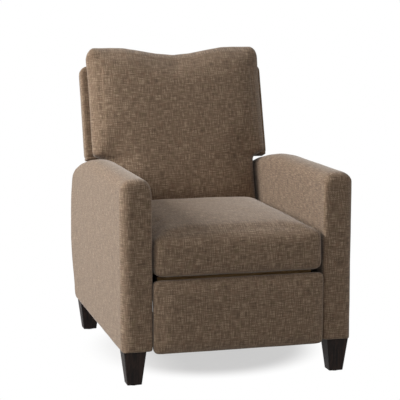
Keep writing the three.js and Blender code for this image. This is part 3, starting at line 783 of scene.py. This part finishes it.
def pick(piece: bpy.types.Object, kind: str, wanted: Callable[[Vector, Vector], bool]) -> None:
    """Selects the faces or edges of a piece in edit mode that pass a test.

    Args:
        piece: The piece.
        kind: "FACE" or "EDGE".
        wanted: A test of a face's middle and its normal, or of an edge's two ends. Places are in
            millimetres.
    """
    bpy.ops.mesh.select_mode(type=kind)
    bpy.ops.mesh.select_all(action="DESELECT")
    work = bmesh.from_edit_mesh(piece.data)
    for part in work.faces if kind == "FACE" else work.edges:
        if kind == "FACE":
            shown = (part.calc_center_median() * 1000, part.normal)
        else:
            shown = (part.verts[0].co * 1000, part.verts[1].co * 1000)
        if wanted(*shown):
            part.select_set(True)
    bmesh.update_edit_mesh(piece.data)


@dataclass(frozen=True)
class Lean:
    """The tilt of a part about a cross axis, by which its own upright axes are found."""

    depth: float = 0.0
    height: float = 0.0
    degrees: float = 0.0

    @classmethod
    def about(cls, joint: str, degrees: float) -> "Lean":
        """Makes the tilt about a joint's axis.

        Args:
            joint: The joint's name in the frame.
            degrees: How far the part leans back at rest.

        Returns:
            The tilt.
        """
        place = next(entry["pos_m"] for entry in frame["joints"] if entry["name"] == joint)
        return cls(1000 * place[1], 1000 * place[2], degrees)

    def inwards(self, points: Points) -> Points:
        """Turns points of the chair into the part's own upright axes."""
        return self._turn(points - self._pivot(), math.radians(self.degrees))

    def outwards(self, points: Points) -> Points:
        """Turns points of the part's own axes back into the chair's."""
        return self._turn(points, -math.radians(self.degrees)) + self._pivot()

    def _pivot(self) -> Points:
        """Gives the axis as a point."""
        return np.array([0.0, mm(self.depth), mm(self.height)])

    @staticmethod
    def _turn(points: Points, angle: float) -> Points:
        """Turns points about the X axis.

        Args:
            points: The points.
            angle: How far they turn, in radians.

        Returns:
            The turned points.
        """
        turned = points.copy()
        turned[:, 1] = points[:, 1] * math.cos(angle) - points[:, 2] * math.sin(angle)
        turned[:, 2] = points[:, 1] * math.sin(angle) + points[:, 2] * math.cos(angle)
        return turned


UPRIGHT = Lean()
BACK_LEAN = Lean.about("back_recline", 16.5)


def node_points(node: str, lean: Lean) -> Points:
    """Reads a CAD node's points along a part's own axes, in millimetres."""
    return lean.inwards(read_points(frame["nodes"][node])) * 1000


def arm_room() -> float:
    """Gives half the room between the two arms' solids, in millimetres."""
    return 1000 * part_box("right_arm_cover")[0].x


def smooth_step(values: Points, low: float, high: float) -> Points:
    """Eases values from 0 at one end to 1 at the other."""
    share = np.clip((values - low) / (high - low), 0, 1)
    return share * share * (3 - 2 * share)


@dataclass(frozen=True)
class RoundedBlock:
    """A cushion's plain form: its middle, half sizes and rounding, in its own axes."""

    middle: Points
    half: Points
    radius: float

    @classmethod
    def around(cls, node: str, lean: Lean, radius: float) -> "RoundedBlock":
        """Takes the form's place and size from a CAD node.

        Args:
            node: The node.
            lean: The axes that the form is measured along.
            radius: The rounding of its edges.

        Returns:
            The form.
        """
        points = node_points(node, lean)
        low, high = points.min(axis=0), points.max(axis=0)
        return cls((low + high) / 2, (high - low) / 2, radius)

    def seam(self, axis: int) -> Callable[[Points], Points]:
        """Measures how far points lie from the seams round the two faces across an axis.

        Args:
            axis: 0, 1 or 2 for the faces across X, Y or Z.

        Returns:
            A function from points to signed distances along the surface.
        """

        def distance(points: Points) -> Points:
            """Gives the distance of each point from the nearest seam.

            Args:
                points: The points, in millimetres.

            Returns:
                Their signed distances.
            """
            near = points - self.middle
            core = self.half - self.radius
            out = near - np.clip(near, -core, core)
            square = np.abs(out[:, axis])
            others = [k for k in range(3) if k != axis]
            aside = np.hypot(out[:, others[0]], out[:, others[1]])
            angle = np.arctan2(square, aside) - math.pi / 4
            return np.where(aside + square > 1, angle * self.radius, FAR)

        return distance


@dataclass
class Padding:
    """One padded piece, made in its own upright axes and then leaned as its body is.

    The outer form is remeshed evenly, relaxed, inflated as cloth where it is a cushion, and sewn.
    Sizes are in millimetres.
    """

    name: str
    node: str
    body: str
    fill: float
    voxel: float = 5.0
    relax: int = 8
    tuck: float = 0.0
    pressure: float = 0.0
    arm_gap: Optional[float] = None
    ease: int = 12
    reach: tuple[float, float, float] = (3.0, 8.0, 10.0)
    subdivide: bool = False
    lean: Lean = UPRIGHT
    model: Optional[Callable[[str], bpy.types.Object]] = None
    sculpt: Optional[Callable[[Points], Points]] = None
    held: Optional[Callable[[Points], Points]] = None
    seams: Sequence[Callable[[Points], Points]] = field(default_factory=tuple)
    seam_depth: float = 1.6
    seam_width: float = 2.6
    unevenness: float = 1.0
    unevenness_size: float = 110.0
    last: Optional[Callable[[bpy.types.Object], None]] = None
    piece: Optional[bpy.types.Object] = None

    def build(self, cloth: bpy.types.Material) -> bpy.types.Object:
        """Makes the piece, dresses it and joins it to its body.

        Args:
            cloth: The cover's material.

        Returns:
            The finished piece.
        """
        self.piece = self.start()
        apply_modifier(self.piece, "REMESH", mode="VOXEL", voxel_size=mm(self.voxel))
        apply_modifier(self.piece, "SMOOTH", factor=0.5, iterations=self.relax)
        if self.sculpt is not None:
            write_points(self.piece, self.sculpt(read_points(self.piece) * 1000) / 1000)
        if self.pressure:
            self.swell()
        if self.subdivide:
            apply_modifier(self.piece, "SUBSURF", levels=1, render_levels=1)
        if self.arm_gap is not None:
            self.fill_room(arm_room() - self.arm_gap)
        self.sew()
        self.ruffle()
        if self.last is not None:
            self.last(self.piece)
        write_points(self.piece, self.lean.outwards(read_points(self.piece)))
        clothe(self.piece, cloth)
        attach(self.piece, self.body)
        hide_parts(self.node)
        log.info("%s: %d faces", self.name, len(self.piece.data.polygons))
        return self.piece

    def start(self) -> bpy.types.Object:
        """Models the outer form, or copies the solid's, in the piece's own axes.

        Returns:
            The new object.
        """
        if self.model is not None:
            return self.model(self.name)
        piece = copy_solid(self.node, self.name)
        write_points(piece, self.lean.inwards(read_points(piece)))
        return piece

    def swell(self) -> None:
        """Inflates the piece as cloth, and eases each point's move to within its reach."""
        start = read_points(self.piece)
        write_points(self.piece, start - read_vectors(self.piece, "normal") * mm(self.tuck))
        self.inflate()
        limit = np.array([mm(reach) for reach in self.reach])
        moved = limit * np.tanh((read_points(self.piece) - start) / limit)
        points = start + self.evened(moved)
        base, top = points[:, 2].min(), points[:, 2].max()
        if top < start[:, 2].max():
            points[:, 2] = base + (points[:, 2] - base) * (start[:, 2].max() - base) / (top - base)
        write_points(self.piece, points)

    def evened(self, moved: Points) -> Points:
        """Shares each point's move with its neighbours, which takes out sharp creases.

        Args:
            moved: How far each point has moved.

        Returns:
            The moves after several rounds of sharing.
        """
        edges = np.empty(len(self.piece.data.edges) * 2, np.int32)
        self.piece.data.edges.foreach_get("vertices", edges)
        ends = np.concatenate([edges.reshape(-1, 2), edges.reshape(-1, 2)[:, ::-1]])
        count = np.bincount(ends[:, 0], minlength=len(moved))[:, None]
        for _ in range(self.ease):
            shared = [
                np.bincount(ends[:, 0], moved[ends[:, 1], axis], len(moved)) for axis in range(3)
            ]
            moved = (moved + np.stack(shared, axis=1) / count) / 2
        return moved

    def inflate(self) -> None:
        """Runs the cloth simulation and keeps its result in the mesh."""
        select_only(self.piece)
        cloth = self.piece.modifiers.new("cloth", "CLOTH")
        settings = cloth.settings
        settings.quality = 5
        settings.mass = 0.3
        settings.tension_stiffness = 15
        settings.compression_stiffness = 15
        settings.shear_stiffness = 5
        settings.bending_stiffness = 0.5
        settings.use_pressure = True
        settings.uniform_pressure_force = self.pressure
        settings.effector_weights.gravity = 0
        if self.held is not None:
            group = self.piece.vertex_groups.new(name="held")
            weights = self.held(read_points(self.piece) * 1000)
            for index in np.nonzero(weights > 0.01)[0]:
                group.add([int(index)], float(weights[index]), "REPLACE")
            settings.vertex_group_mass = group.name
        scene = bpy.context.scene
        for number in range(1, 21):
            scene.frame_set(number)
        bpy.ops.object.modifier_apply(modifier=cloth.name)
        scene.frame_set(1)
        self.piece.vertex_groups.clear()

    def fill_room(self, half_width: float) -> None:
        """Stretches the piece across until it fills the room between the arms.

        Args:
            half_width: How far it reaches to each side, in millimetres.
        """
        points = read_points(self.piece)
        points[:, 0] *= mm(half_width) / np.abs(points[:, 0]).max()
        write_points(self.piece, points)

    def sew(self) -> None:
        """Presses the seams into the cover."""
        if not self.seams:
            return
        points = read_points(self.piece)
        depth = np.zeros(len(points))
        for seam in self.seams:
            depth = np.maximum(depth, np.exp(-((seam(points * 1000) / self.seam_width) ** 2)))
        normals = read_vectors(self.piece, "normal")
        write_points(self.piece, points - normals * (mm(self.seam_depth) * depth)[:, None])

    def ruffle(self) -> None:
        """Gives the padding the slight unevenness of hand work."""
        cloud = bpy.data.textures.new(self.name + "_unevenness", "CLOUDS")
        cloud.noise_scale = mm(self.unevenness_size)
        cloud.noise_depth = 1
        apply_modifier(
            self.piece,
            "DISPLACE",
            texture=cloud,
            texture_coords="LOCAL",
            strength=mm(2 * self.unevenness),
            mid_level=0.5,
        )


@dataclass
class Arms:
    """The two padded arms."""

    front_radius: float = 34.0
    skin_start: float = 12.0
    skin_end: float = 7.0

    def sculpt(self, points: Points) -> Points:
        """Rounds the outer front edge widely, where the cloth is drawn over thick padding.

        Args:
            points: Points of the piece, in millimetres.

        Returns:
            The moved points.
        """
        shaped = points.copy()
        side = np.sign(points[:, 0])
        outer, front = np.abs(points[:, 0]).max(), points[:, 1].min()
        aside = np.maximum(np.abs(points[:, 0]) - (outer - self.front_radius), 0)
        ahead = np.maximum(front + self.front_radius - points[:, 1], 0)
        beyond = np.maximum(np.hypot(aside, ahead) / self.front_radius, 1)
        skin = (self.front_radius - self.skin_start, self.front_radius - self.skin_end)
        surface = smooth_step(np.maximum(aside, ahead), *skin)
        pull = (1 - 1 / beyond) * surface * (np.minimum(aside, ahead) > 0)
        shaped[:, 0] -= side * aside * pull
        shaped[:, 1] += ahead * pull
        return shaped

    def build(self, finishes: Finishes) -> None:
        """Makes both arms' covers."""
        for side in ("left", "right"):
            Padding(
                name=side + "_arm_upholstery",
                node=side + "_arm_cover",
                body="chassis",
                fill=0.9,
                voxel=6.0,
                relax=10,
                sculpt=self.sculpt,
                unevenness=0.8,
            ).build(finishes.tweed)


@dataclass
class SeatCushionCover:
    """The boxed seat cushion: a panel that wraps its top and front, with side boxings."""

    node: str = "seat_cushion"
    edge_radius: float = 30.0
    held_rise: float = 34.0
    held_depth: float = 30.0
    held_full_base: float = 6.0
    held_full_rear: float = 8.0
    crown: float = 6.0
    crown_edge: float = 8.0
    crown_start: float = 60.0

    def sculpt(self, points: Points) -> Points:
        """Fills the rear of the top, which the sitter's weight spares.

        Args:
            points: Points of the piece, in millimetres.

        Returns:
            The moved points.
        """
        low, high = points.min(axis=0), points.max(axis=0)
        shaped = points.copy()
        above = smooth_step(points[:, 2], (low[2] + high[2]) / 2, high[2] - self.crown_edge)
        middle = (low[1] + high[1]) / 2
        behind = smooth_step(points[:, 1], low[1] + self.crown_start, middle)
        shaped[:, 2] += self.crown * above * behind
        return shaped

    def held(self, points: Points) -> Points:
        """Holds the underside and the rear, where the cushion lies on its frame.

        Args:
            points: Points of the piece, in millimetres.

        Returns:
            Shares from 0 to 1, where 1 is held fast.
        """
        solid = node_points(self.node, UPRIGHT)
        base, rear = solid[:, 2].min(), solid[:, 1].max()
        low = 1 - smooth_step(points[:, 2], base + self.held_full_base, base + self.held_rise)
        back = smooth_step(points[:, 1], rear - self.held_depth, rear - self.held_full_rear)
        return np.maximum(low, back)

    def build(self, finishes: Finishes) -> None:
        """Makes the cushion's cover."""
        form = RoundedBlock.around(self.node, UPRIGHT, self.edge_radius)
        Padding(
            name="seat_cushion_cover",
            node=self.node,
            body="seat",
            fill=0.7,
            voxel=6.0,
            tuck=5.0,
            pressure=4.0,
            reach=(3.0, 8.0, 9.0),
            arm_gap=2.0,
            subdivide=True,
            sculpt=self.sculpt,
            held=self.held,
            seams=(form.seam(0),),
            seam_depth=1.2,
        ).build(finishes.tweed)


@dataclass
class BackCushionCover:
    """The winged back cushion: one crowned face, with a boxing all round."""

    node: str = "back_cushion"
    held_depth: float = 20.0
    held_full: float = 4.0
    foot_height: float = 100.0
    foot_blend: float = 8.0
    ear: float = 3.0
    ear_foot: float = 500.0
    ear_top: float = 620.0
    arm_gap: float = 3.0

    def held(self, points: Points) -> Points:
        """Holds the rear face, which is tacked to the back's frame."""
        rear = node_points(self.node, BACK_LEAN)[:, 1].max()
        return smooth_step(points[:, 1], rear - self.held_depth, rear - self.held_full)

    def sculpt(self, points: Points) -> Points:
        """Draws the two top corners out, and fills the room between the arms.

        Args:
            points: Points of the piece, in millimetres.

        Returns:
            The moved points.
        """
        shaped = points.copy()
        near_top = smooth_step(points[:, 2], self.ear_foot, self.ear_top)
        wide = np.abs(points[:, 0]).max()
        shaped[:, 0] *= 1 + self.ear / wide * near_top
        low = points[:, 2] < points[:, 2].min() + self.foot_height
        narrow = np.abs(points[low, 0]).max()
        beside = 1 - smooth_step(np.abs(points[:, 0]), narrow, narrow + self.foot_blend)
        shaped[:, 0] *= 1 + ((arm_room() - self.arm_gap) / narrow - 1) * beside
        return shaped

    def build(self, finishes: Finishes) -> None:
        """Makes the cushion's cover."""
        Padding(
            name="back_cushion_cover",
            node=self.node,
            body="back",
            fill=0.7,
            voxel=6.0,
            relax=4,
            tuck=2.0,
            pressure=4.0,
            reach=(2.0, 11.0, 3.0),
            ease=40,
            subdivide=True,
            lean=BACK_LEAN,
            sculpt=self.sculpt,
            held=self.held,
        ).build(finishes.tweed)


@dataclass
class OutsideBack:
    """The padded tray round the back's frame: a panel with wings over the arms, open in front."""

    node: str = "outside_back"
    arm_clearance: float = 4.0
    corner_radius: float = 26.0
    corner_steps: int = 6
    rear_radius: float = 10.0
    rim: float = 8.0
    wall: float = 3.0
    crown: float = 3.0
    crown_fade: float = 90.0
    seam_inset: float = 16.0
    roll_drop: float = 9.0
    roll_rise: float = 3.0
    roll_inset: float = 1.5
    roll_side: float = 3.0
    roll_rounding: float = 4.5
    roll_hidden: float = 0.5

    def __post_init__(self) -> None:
        """Reads the tray's sizes from its solid and from the arm beside it."""
        points = node_points(self.node, BACK_LEAN)
        self.low, self.high = points.min(axis=0), points.max(axis=0)
        self.narrow = arm_room() - self.arm_clearance
        beyond = np.abs(points[:, 0]) > arm_room()
        self.wing_foot = points[beyond, 2].min()

    def model(self, name: str) -> bpy.types.Object:
        """Models the tray as one closed block: its panel, then its two wings.

        Args:
            name: The new piece.

        Returns:
            The block, in the back's own axes.
        """
        front, rear = self.low[1], self.high[1]
        piece = add_block(
            name, (-self.narrow, front, self.low[2]), (self.narrow, rear, self.wing_foot)
        )
        rise = self.high[2] - self.wing_foot
        spread = self.high[0] - self.narrow
        with editing(piece):
            pick(piece, "FACE", lambda middle, normal: normal.z > 0.9)
            bpy.ops.mesh.extrude_region_move(
                TRANSFORM_OT_translate={"value": (0, 0, mm(rise))}
            )
            for side in (-1, 1):
                pick(
                    piece,
                    "FACE",
                    lambda middle, normal: side * normal.x > 0.9 and middle.z > self.wing_foot,
                )
                bpy.ops.mesh.extrude_region_move(
                    TRANSFORM_OT_translate={"value": (side * mm(spread), 0, 0)}
                )
            pick(piece, "EDGE", self.is_top_corner)
            bpy.ops.mesh.bevel(offset=mm(self.corner_radius), segments=self.corner_steps)
            pick(piece, "EDGE", self.is_rear_edge)
            bpy.ops.mesh.bevel(offset=mm(self.rear_radius), segments=3)
        return piece

    def is_top_corner(self, one: Vector, other: Vector) -> bool:
        """Tells whether an edge is one of the two top corners."""
        ends = (one, other)
        return all(
            abs(end.x) > self.high[0] - 1 and end.z > self.high[2] - 1 for end in ends
        )

    def is_rear_edge(self, one: Vector, other: Vector) -> bool:
        """Tells whether an edge runs round the rear panel.

        Args:
            one: One end, in millimetres.
            other: The other end.

        Returns:
            True where it does.
        """
        if min(one.y, other.y) < self.high[1] - 1:
            return False
        middle = (one + other) / 2
        return self.inset(np.array([list(middle)]))[0] < self.corner_radius / 3

    def inset(self, points: Points) -> Points:
        """Measures how far inside the tray's outline, seen from behind, points lie.

        Args:
            points: Points of the piece, in millimetres.

        Returns:
            Their distances, below 0 outside it.
        """
        aside, below_top = np.abs(points[:, 0]), self.high[2] - points[:, 2]
        wings, panel = (
            np.minimum.reduce([half - aside, below_top, points[:, 2] - foot])
            for half, foot in ((self.high[0], self.wing_foot), (self.narrow, self.low[2]))
        )
        return np.maximum(wings, panel)

    def sculpt(self, points: Points) -> Points:
        """Crowns the rear panel with its padding.

        Args:
            points: Points of the piece, in millimetres.

        Returns:
            The moved points.
        """
        shaped = points.copy()
        filled = smooth_step(self.inset(points), 0, self.crown_fade)
        behind = smooth_step(points[:, 1], 0, self.high[1] - 2)
        shaped[:, 1] += self.crown * filled * behind
        return shaped

    def panel_seam(self, points: Points) -> Points:
        """Measures how far points lie from the seam round the rear panel."""
        behind = points[:, 1] > self.high[1] - 4
        return np.where(behind, self.inset(points) - self.seam_inset, FAR)

    def open_front(self, piece: bpy.types.Object) -> None:
        """Cuts the mouth in front, between the wings, and gives the tray its wall.

        Args:
            piece: The tray's cover.
        """
        across = self.narrow - self.rim
        foot, top = self.low[2] + self.rim, self.high[2] - self.rim
        front = self.low[1]
        planes = (
            ((-across, 0, 0), (1, 0, 0)),
            ((across, 0, 0), (1, 0, 0)),
            ((0, 0, foot), (0, 0, 1)),
            ((0, 0, top), (0, 0, 1)),
        )
        with editing(piece):
            for place, normal in planes:
                bpy.ops.mesh.select_all(action="SELECT")
                bpy.ops.mesh.bisect(
                    plane_co=[mm(value) for value in place], plane_no=normal, threshold=mm(0.05)
                )
            pick(
                piece,
                "FACE",
                lambda middle, normal: normal.y < -0.5
                and middle.y < front + self.rim
                and abs(middle.x) < across
                and foot < middle.z < top,
            )
            bpy.ops.mesh.delete(type="FACE")
        apply_modifier(piece, "SOLIDIFY", thickness=mm(self.wall), offset=-1.0)

    def roll(self, side: int, cloth: bpy.types.Material) -> None:
        """Adds the soft roll under a wing.

        Args:
            side: -1 for the left wing and 1 for the right one.
            cloth: The cover's material.
        """
        name = ("left" if side < 0 else "right") + "_wing_roll"
        inner = side * (arm_room() + self.roll_inset)
        across = sorted((inner, side * (self.high[0] - self.roll_side)))
        top = self.wing_foot + self.roll_rise
        piece = add_block(
            name,
            (across[0], self.low[1] + self.roll_inset, top - self.roll_rise - self.roll_drop),
            (across[1], self.high[1] - self.roll_inset, top),
        )
        with editing(piece):
            bpy.ops.mesh.select_mode(type="EDGE")
            bpy.ops.mesh.select_all(action="SELECT")
            bpy.ops.mesh.bevel(offset=mm(self.roll_rounding), segments=4)
        write_points(piece, BACK_LEAN.outwards(read_points(piece)))
        clothe(piece, cloth)
        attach(piece, "back")
        ends = BACK_LEAN.outwards(np.array([[0.0, 0.0, mm(top)], [0.0, 0.0, mm(top) + 1]]))
        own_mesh(piece)

    def build(self, finishes: Finishes) -> None:
        """Makes the tray's cover and the rolls under its wings."""
        for side in (-1, 1):
            self.roll(side, finishes.tweed)
        Padding(
            name="outside_back_upholstery",
            node=self.node,
            body="back",
            fill=0.9,
            voxel=5.0,
            relax=4,
            unevenness=0.5,
            unevenness_size=160.0,
            lean=BACK_LEAN,
            model=self.model,
            sculpt=self.sculpt,
            seams=(self.panel_seam,),
            seam_depth=1.0,
            last=self.open_front,
        ).build(finishes.tweed)


class RearApron:
    """The padded panel below the outside back."""

    def build(self, finishes: Finishes) -> None:
        """Makes the apron's cover."""
        Padding(
            name="rear_apron_upholstery",
            node="rear_apron",
            body="chassis",
            fill=0.9,
            voxel=5.0,
            relax=5,
            unevenness=0.6,
        ).build(finishes.tweed)


@dataclass
class FootrestCover:
    """The padded face of the footrest."""

    node: str = "footrest_pad"
    held_depth: float = 14.0
    held_full: float = 3.0
    wrap_depth: float = 13.0
    wrap_start: float = 9.0
    wrap_end: float = 4.0

    def sculpt(self, points: Points) -> Points:
        """Draws the pad's two sides back, as the cloth that wraps the board's edges.

        Args:
            points: Points of the piece, in millimetres.

        Returns:
            The moved points.
        """
        low, high = points.min(axis=0), points.max(axis=0)
        shaped = points.copy()
        beside = smooth_step(
            np.abs(points[:, 0]), high[0] - self.wrap_start, high[0] - self.wrap_end
        )
        behind = smooth_step(points[:, 1], (low[1] + high[1]) / 2, high[1] - 3)
        shaped[:, 1] += self.wrap_depth * beside * behind
        return shaped

    def held(self, points: Points) -> Points:
        """Holds the rear face, which is tacked to the footrest's board."""
        rear = node_points(self.node, UPRIGHT)[:, 1].max()
        return smooth_step(points[:, 1], rear - self.held_depth, rear - self.held_full)

    def build(self, finishes: Finishes) -> None:
        """Makes the pad's cover."""
        Padding(
            name="footrest_pad_cover",
            node=self.node,
            body="footrest",
            fill=0.8,
            voxel=5.0,
            relax=6,
            tuck=2.0,
            pressure=4.0,
            reach=(2.0, 5.0, 1.2),
            arm_gap=0.9,
            subdivide=True,
            sculpt=self.sculpt,
            held=self.held,
            unevenness=0.5,
        ).build(finishes.tweed)


class Carcass:
    """The frame, legs, runners and linkage, whose solids stay and get their finishes."""

    ENDINGS: Sequence[tuple[str, str]] = (
        ("webbing", "webbing"),
        ("_leg", "espresso"),
        ("_glide", "nylon"),
        ("slide_bar", "nylon"),
        ("_bolt", "zinc"),
        ("knee_tube", "zinc"),
        ("arm_panel", "panel"),
        ("footrest_board", "footboard"),
        ("arm_top_rail", "board_deep"),
        ("_post", "board_upright"),
        ("_rail", "board_across"),
        ("wing_block", "board_across"),
        ("_link", "enamel"),
        ("_plate", "enamel"),
        ("_bracket", "enamel"),
        ("slide_channel", "enamel"),
    )

    def build(self, finishes: Finishes) -> None:
        """Gives each shown CAD node the finish that its name calls for.

        Args:
            finishes: The chair's finishes.
        """
        for name, piece in frame["nodes"].items():
            if piece.hide_render:
                continue
            finish = next((f for ending, f in self.ENDINGS if name.endswith(ending)), None)
            if finish is None:
                log.warning("%s has no finish", name)
                continue
            piece.data.materials.clear()
            piece.data.materials.append(getattr(finishes, finish))
            if finish == "espresso":
                self.soften(piece)
            log.info("%s: %s", name, finish)

    @staticmethod
    def soften(piece: bpy.types.Object) -> None:
        """Rounds a CAD node's edges a little, as sanding does.

        Args:
            piece: The node.
        """
        piece.modifiers.new("weld", "WELD").merge_threshold = mm(0.02)
        bevel = piece.modifiers.new("bevel", "BEVEL")
        bevel.width = mm(1.0)
        bevel.segments = 2
        bevel.limit_method = "ANGLE"
        bevel.angle_limit = math.radians(25)
        bevel.harden_normals = False


@dataclass
class Studio:
    """A white floor that keeps a soft shadow, soft lamps and the camera."""

    camera_place: tuple[float, float, float] = (-1226.774, -4547.002, 1220.354)
    azimuth: float = -15.011
    elevation: float = 8.5
    lens: float = 124.04
    floor_size: float = 60000.0
    floor_shade: str = "A8A8A8"
    own_white: float = 0.57
    shadow_near: float = 300.0
    shadow_far: float = 440.0
    room_light: float = 0.47
    key_power: float = 180.0
    key_size: float = 1800.0
    key_target: float = 500.0
    key_place: tuple[float, float, float] = (-3700.0, 60.0, 2500.0)

    def floor(self) -> None:
        """Lays the floor: white where it is seen, with the chair's shadow near its feet."""
        bpy.ops.object.select_all(action="DESELECT")
        bpy.ops.mesh.primitive_plane_add(size=mm(self.floor_size))
        plane = bpy.context.active_object
        plane.name = "floor"
        material, tree = new_material("studio_floor")
        seen = self.seen_directly(tree)
        shade = mix_colours(tree, seen, linear(self.floor_shade), (1.0, 1.0, 1.0, 1.0))
        where = add_node(tree, "ShaderNodeTexCoord").outputs["Object"]
        own = fitted(
            tree,
            compute(tree, "LENGTH", where, vector=True),
            (mm(self.shadow_near), mm(self.shadow_far)),
            (self.own_white, 1.0),
            interpolation_type="SMOOTHSTEP",
        )
        settings = {
            "Fac": compute(tree, "MULTIPLY", own, seen),
            1: add_node(tree, "ShaderNodeBsdfDiffuse", {"Color": shade}).outputs[0],
            2: self.lit(tree, "ShaderNodeEmission", 1.0),
        }
        mixed = add_node(tree, "ShaderNodeMixShader", settings).outputs[0]
        add_node(tree, "ShaderNodeOutputMaterial", {"Surface": mixed})
        plane.data.materials.append(material)

    @staticmethod
    def lit(tree: bpy.types.NodeTree, kind: str, strength: float) -> bpy.types.NodeSocket:
        """Adds a white Emission or Background shader."""
        return add_node(tree, kind, {"Color": (1, 1, 1, 1), "Strength": strength}).outputs[0]

    @staticmethod
    def seen_directly(tree: bpy.types.NodeTree) -> bpy.types.NodeSocket:
        """Adds up the kinds of ray that show the background.

        Args:
            tree: The tree that gets the nodes.

        Returns:
            A value of 1 for camera, glossy and transmission rays, and 0 for others.
        """
        rays = add_node(tree, "ShaderNodeLightPath").outputs
        seen = compute(tree, "MAXIMUM", rays["Is Camera Ray"], rays["Is Glossy Ray"])
        return compute(tree, "MAXIMUM", seen, rays["Is Transmission Ray"])

    def world(self) -> None:
        """Fills the room with weak light, and shows it white."""
        world = bpy.data.worlds.new("studio_room")
        bpy.context.scene.world = world
        world.use_nodes = True
        tree = world.node_tree
        tree.nodes.clear()
        settings = {
            "Fac": self.seen_directly(tree),
            1: self.lit(tree, "ShaderNodeBackground", self.room_light),
            2: self.lit(tree, "ShaderNodeBackground", 1.0),
        }
        mixed = add_node(tree, "ShaderNodeMixShader", settings).outputs[0]
        add_node(tree, "ShaderNodeOutputWorld", {"Surface": mixed})

    @staticmethod
    def hang(
        name: str, data: bpy.types.ID, place: Sequence[float], forward: Vector
    ) -> bpy.types.Object:
        """Hangs a lamp or a camera in the room.

        Args:
            name: The new object.
            data: The lamp or the camera.
            place: Where it hangs, in millimetres.
            forward: The way it looks.

        Returns:
            The object.
        """
        made = bpy.data.objects.new(name, data)
        bpy.context.scene.collection.objects.link(made)
        made.location = Vector([mm(value) for value in place])
        made.rotation_mode = "QUATERNION"
        made.rotation_quaternion = forward.to_track_quat("-Z", "Y")
        return made

    def lamp(self) -> None:
        """Hangs one large soft lamp to the picture's left."""
        data = bpy.data.lights.new("key", "AREA")
        data.shape = "SQUARE"
        data.size = mm(self.key_size)
        data.energy = self.key_power
        start = Vector([mm(value) for value in self.key_place])
        self.hang("key", data, self.key_place, Vector((0.0, 0.0, mm(self.key_target))) - start)

    def camera(self) -> None:
        """Sets the camera at the photograph's viewing angle."""
        data = bpy.data.cameras.new("camera")
        data.lens = self.lens
        data.sensor_width = 36.0
        data.clip_start = 0.1
        data.clip_end = 100.0
        turn, rise = math.radians(self.azimuth), math.radians(self.elevation)
        level = math.cos(rise)
        back = Vector((math.sin(turn) * level, -math.cos(turn) * level, math.sin(rise)))
        camera = self.hang("camera", data, self.camera_place, -back)
        bpy.context.scene.camera = camera

    def build(self) -> None:
        """Makes the whole studio."""
        self.floor()
        self.world()
        self.lamp()
        self.camera()
        bpy.context.scene.view_settings.view_transform = "Standard"


def main() -> None:
    """Builds the chair and its studio in order."""
    logging.basicConfig(level=logging.INFO, format="%(name)s %(message)s")
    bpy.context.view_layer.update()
    studio = Studio()
    studio.build()
    finishes = Finishes()
    for part in (
        Arms(),
        SeatCushionCover(),
        BackCushionCover(),
        OutsideBack(),
        RearApron(),
        FootrestCover(),
        Carcass(),
    ):
        part.build(finishes)
        log.info("%s is ready", type(part).__name__)


if __name__ == "__main__":
    main()
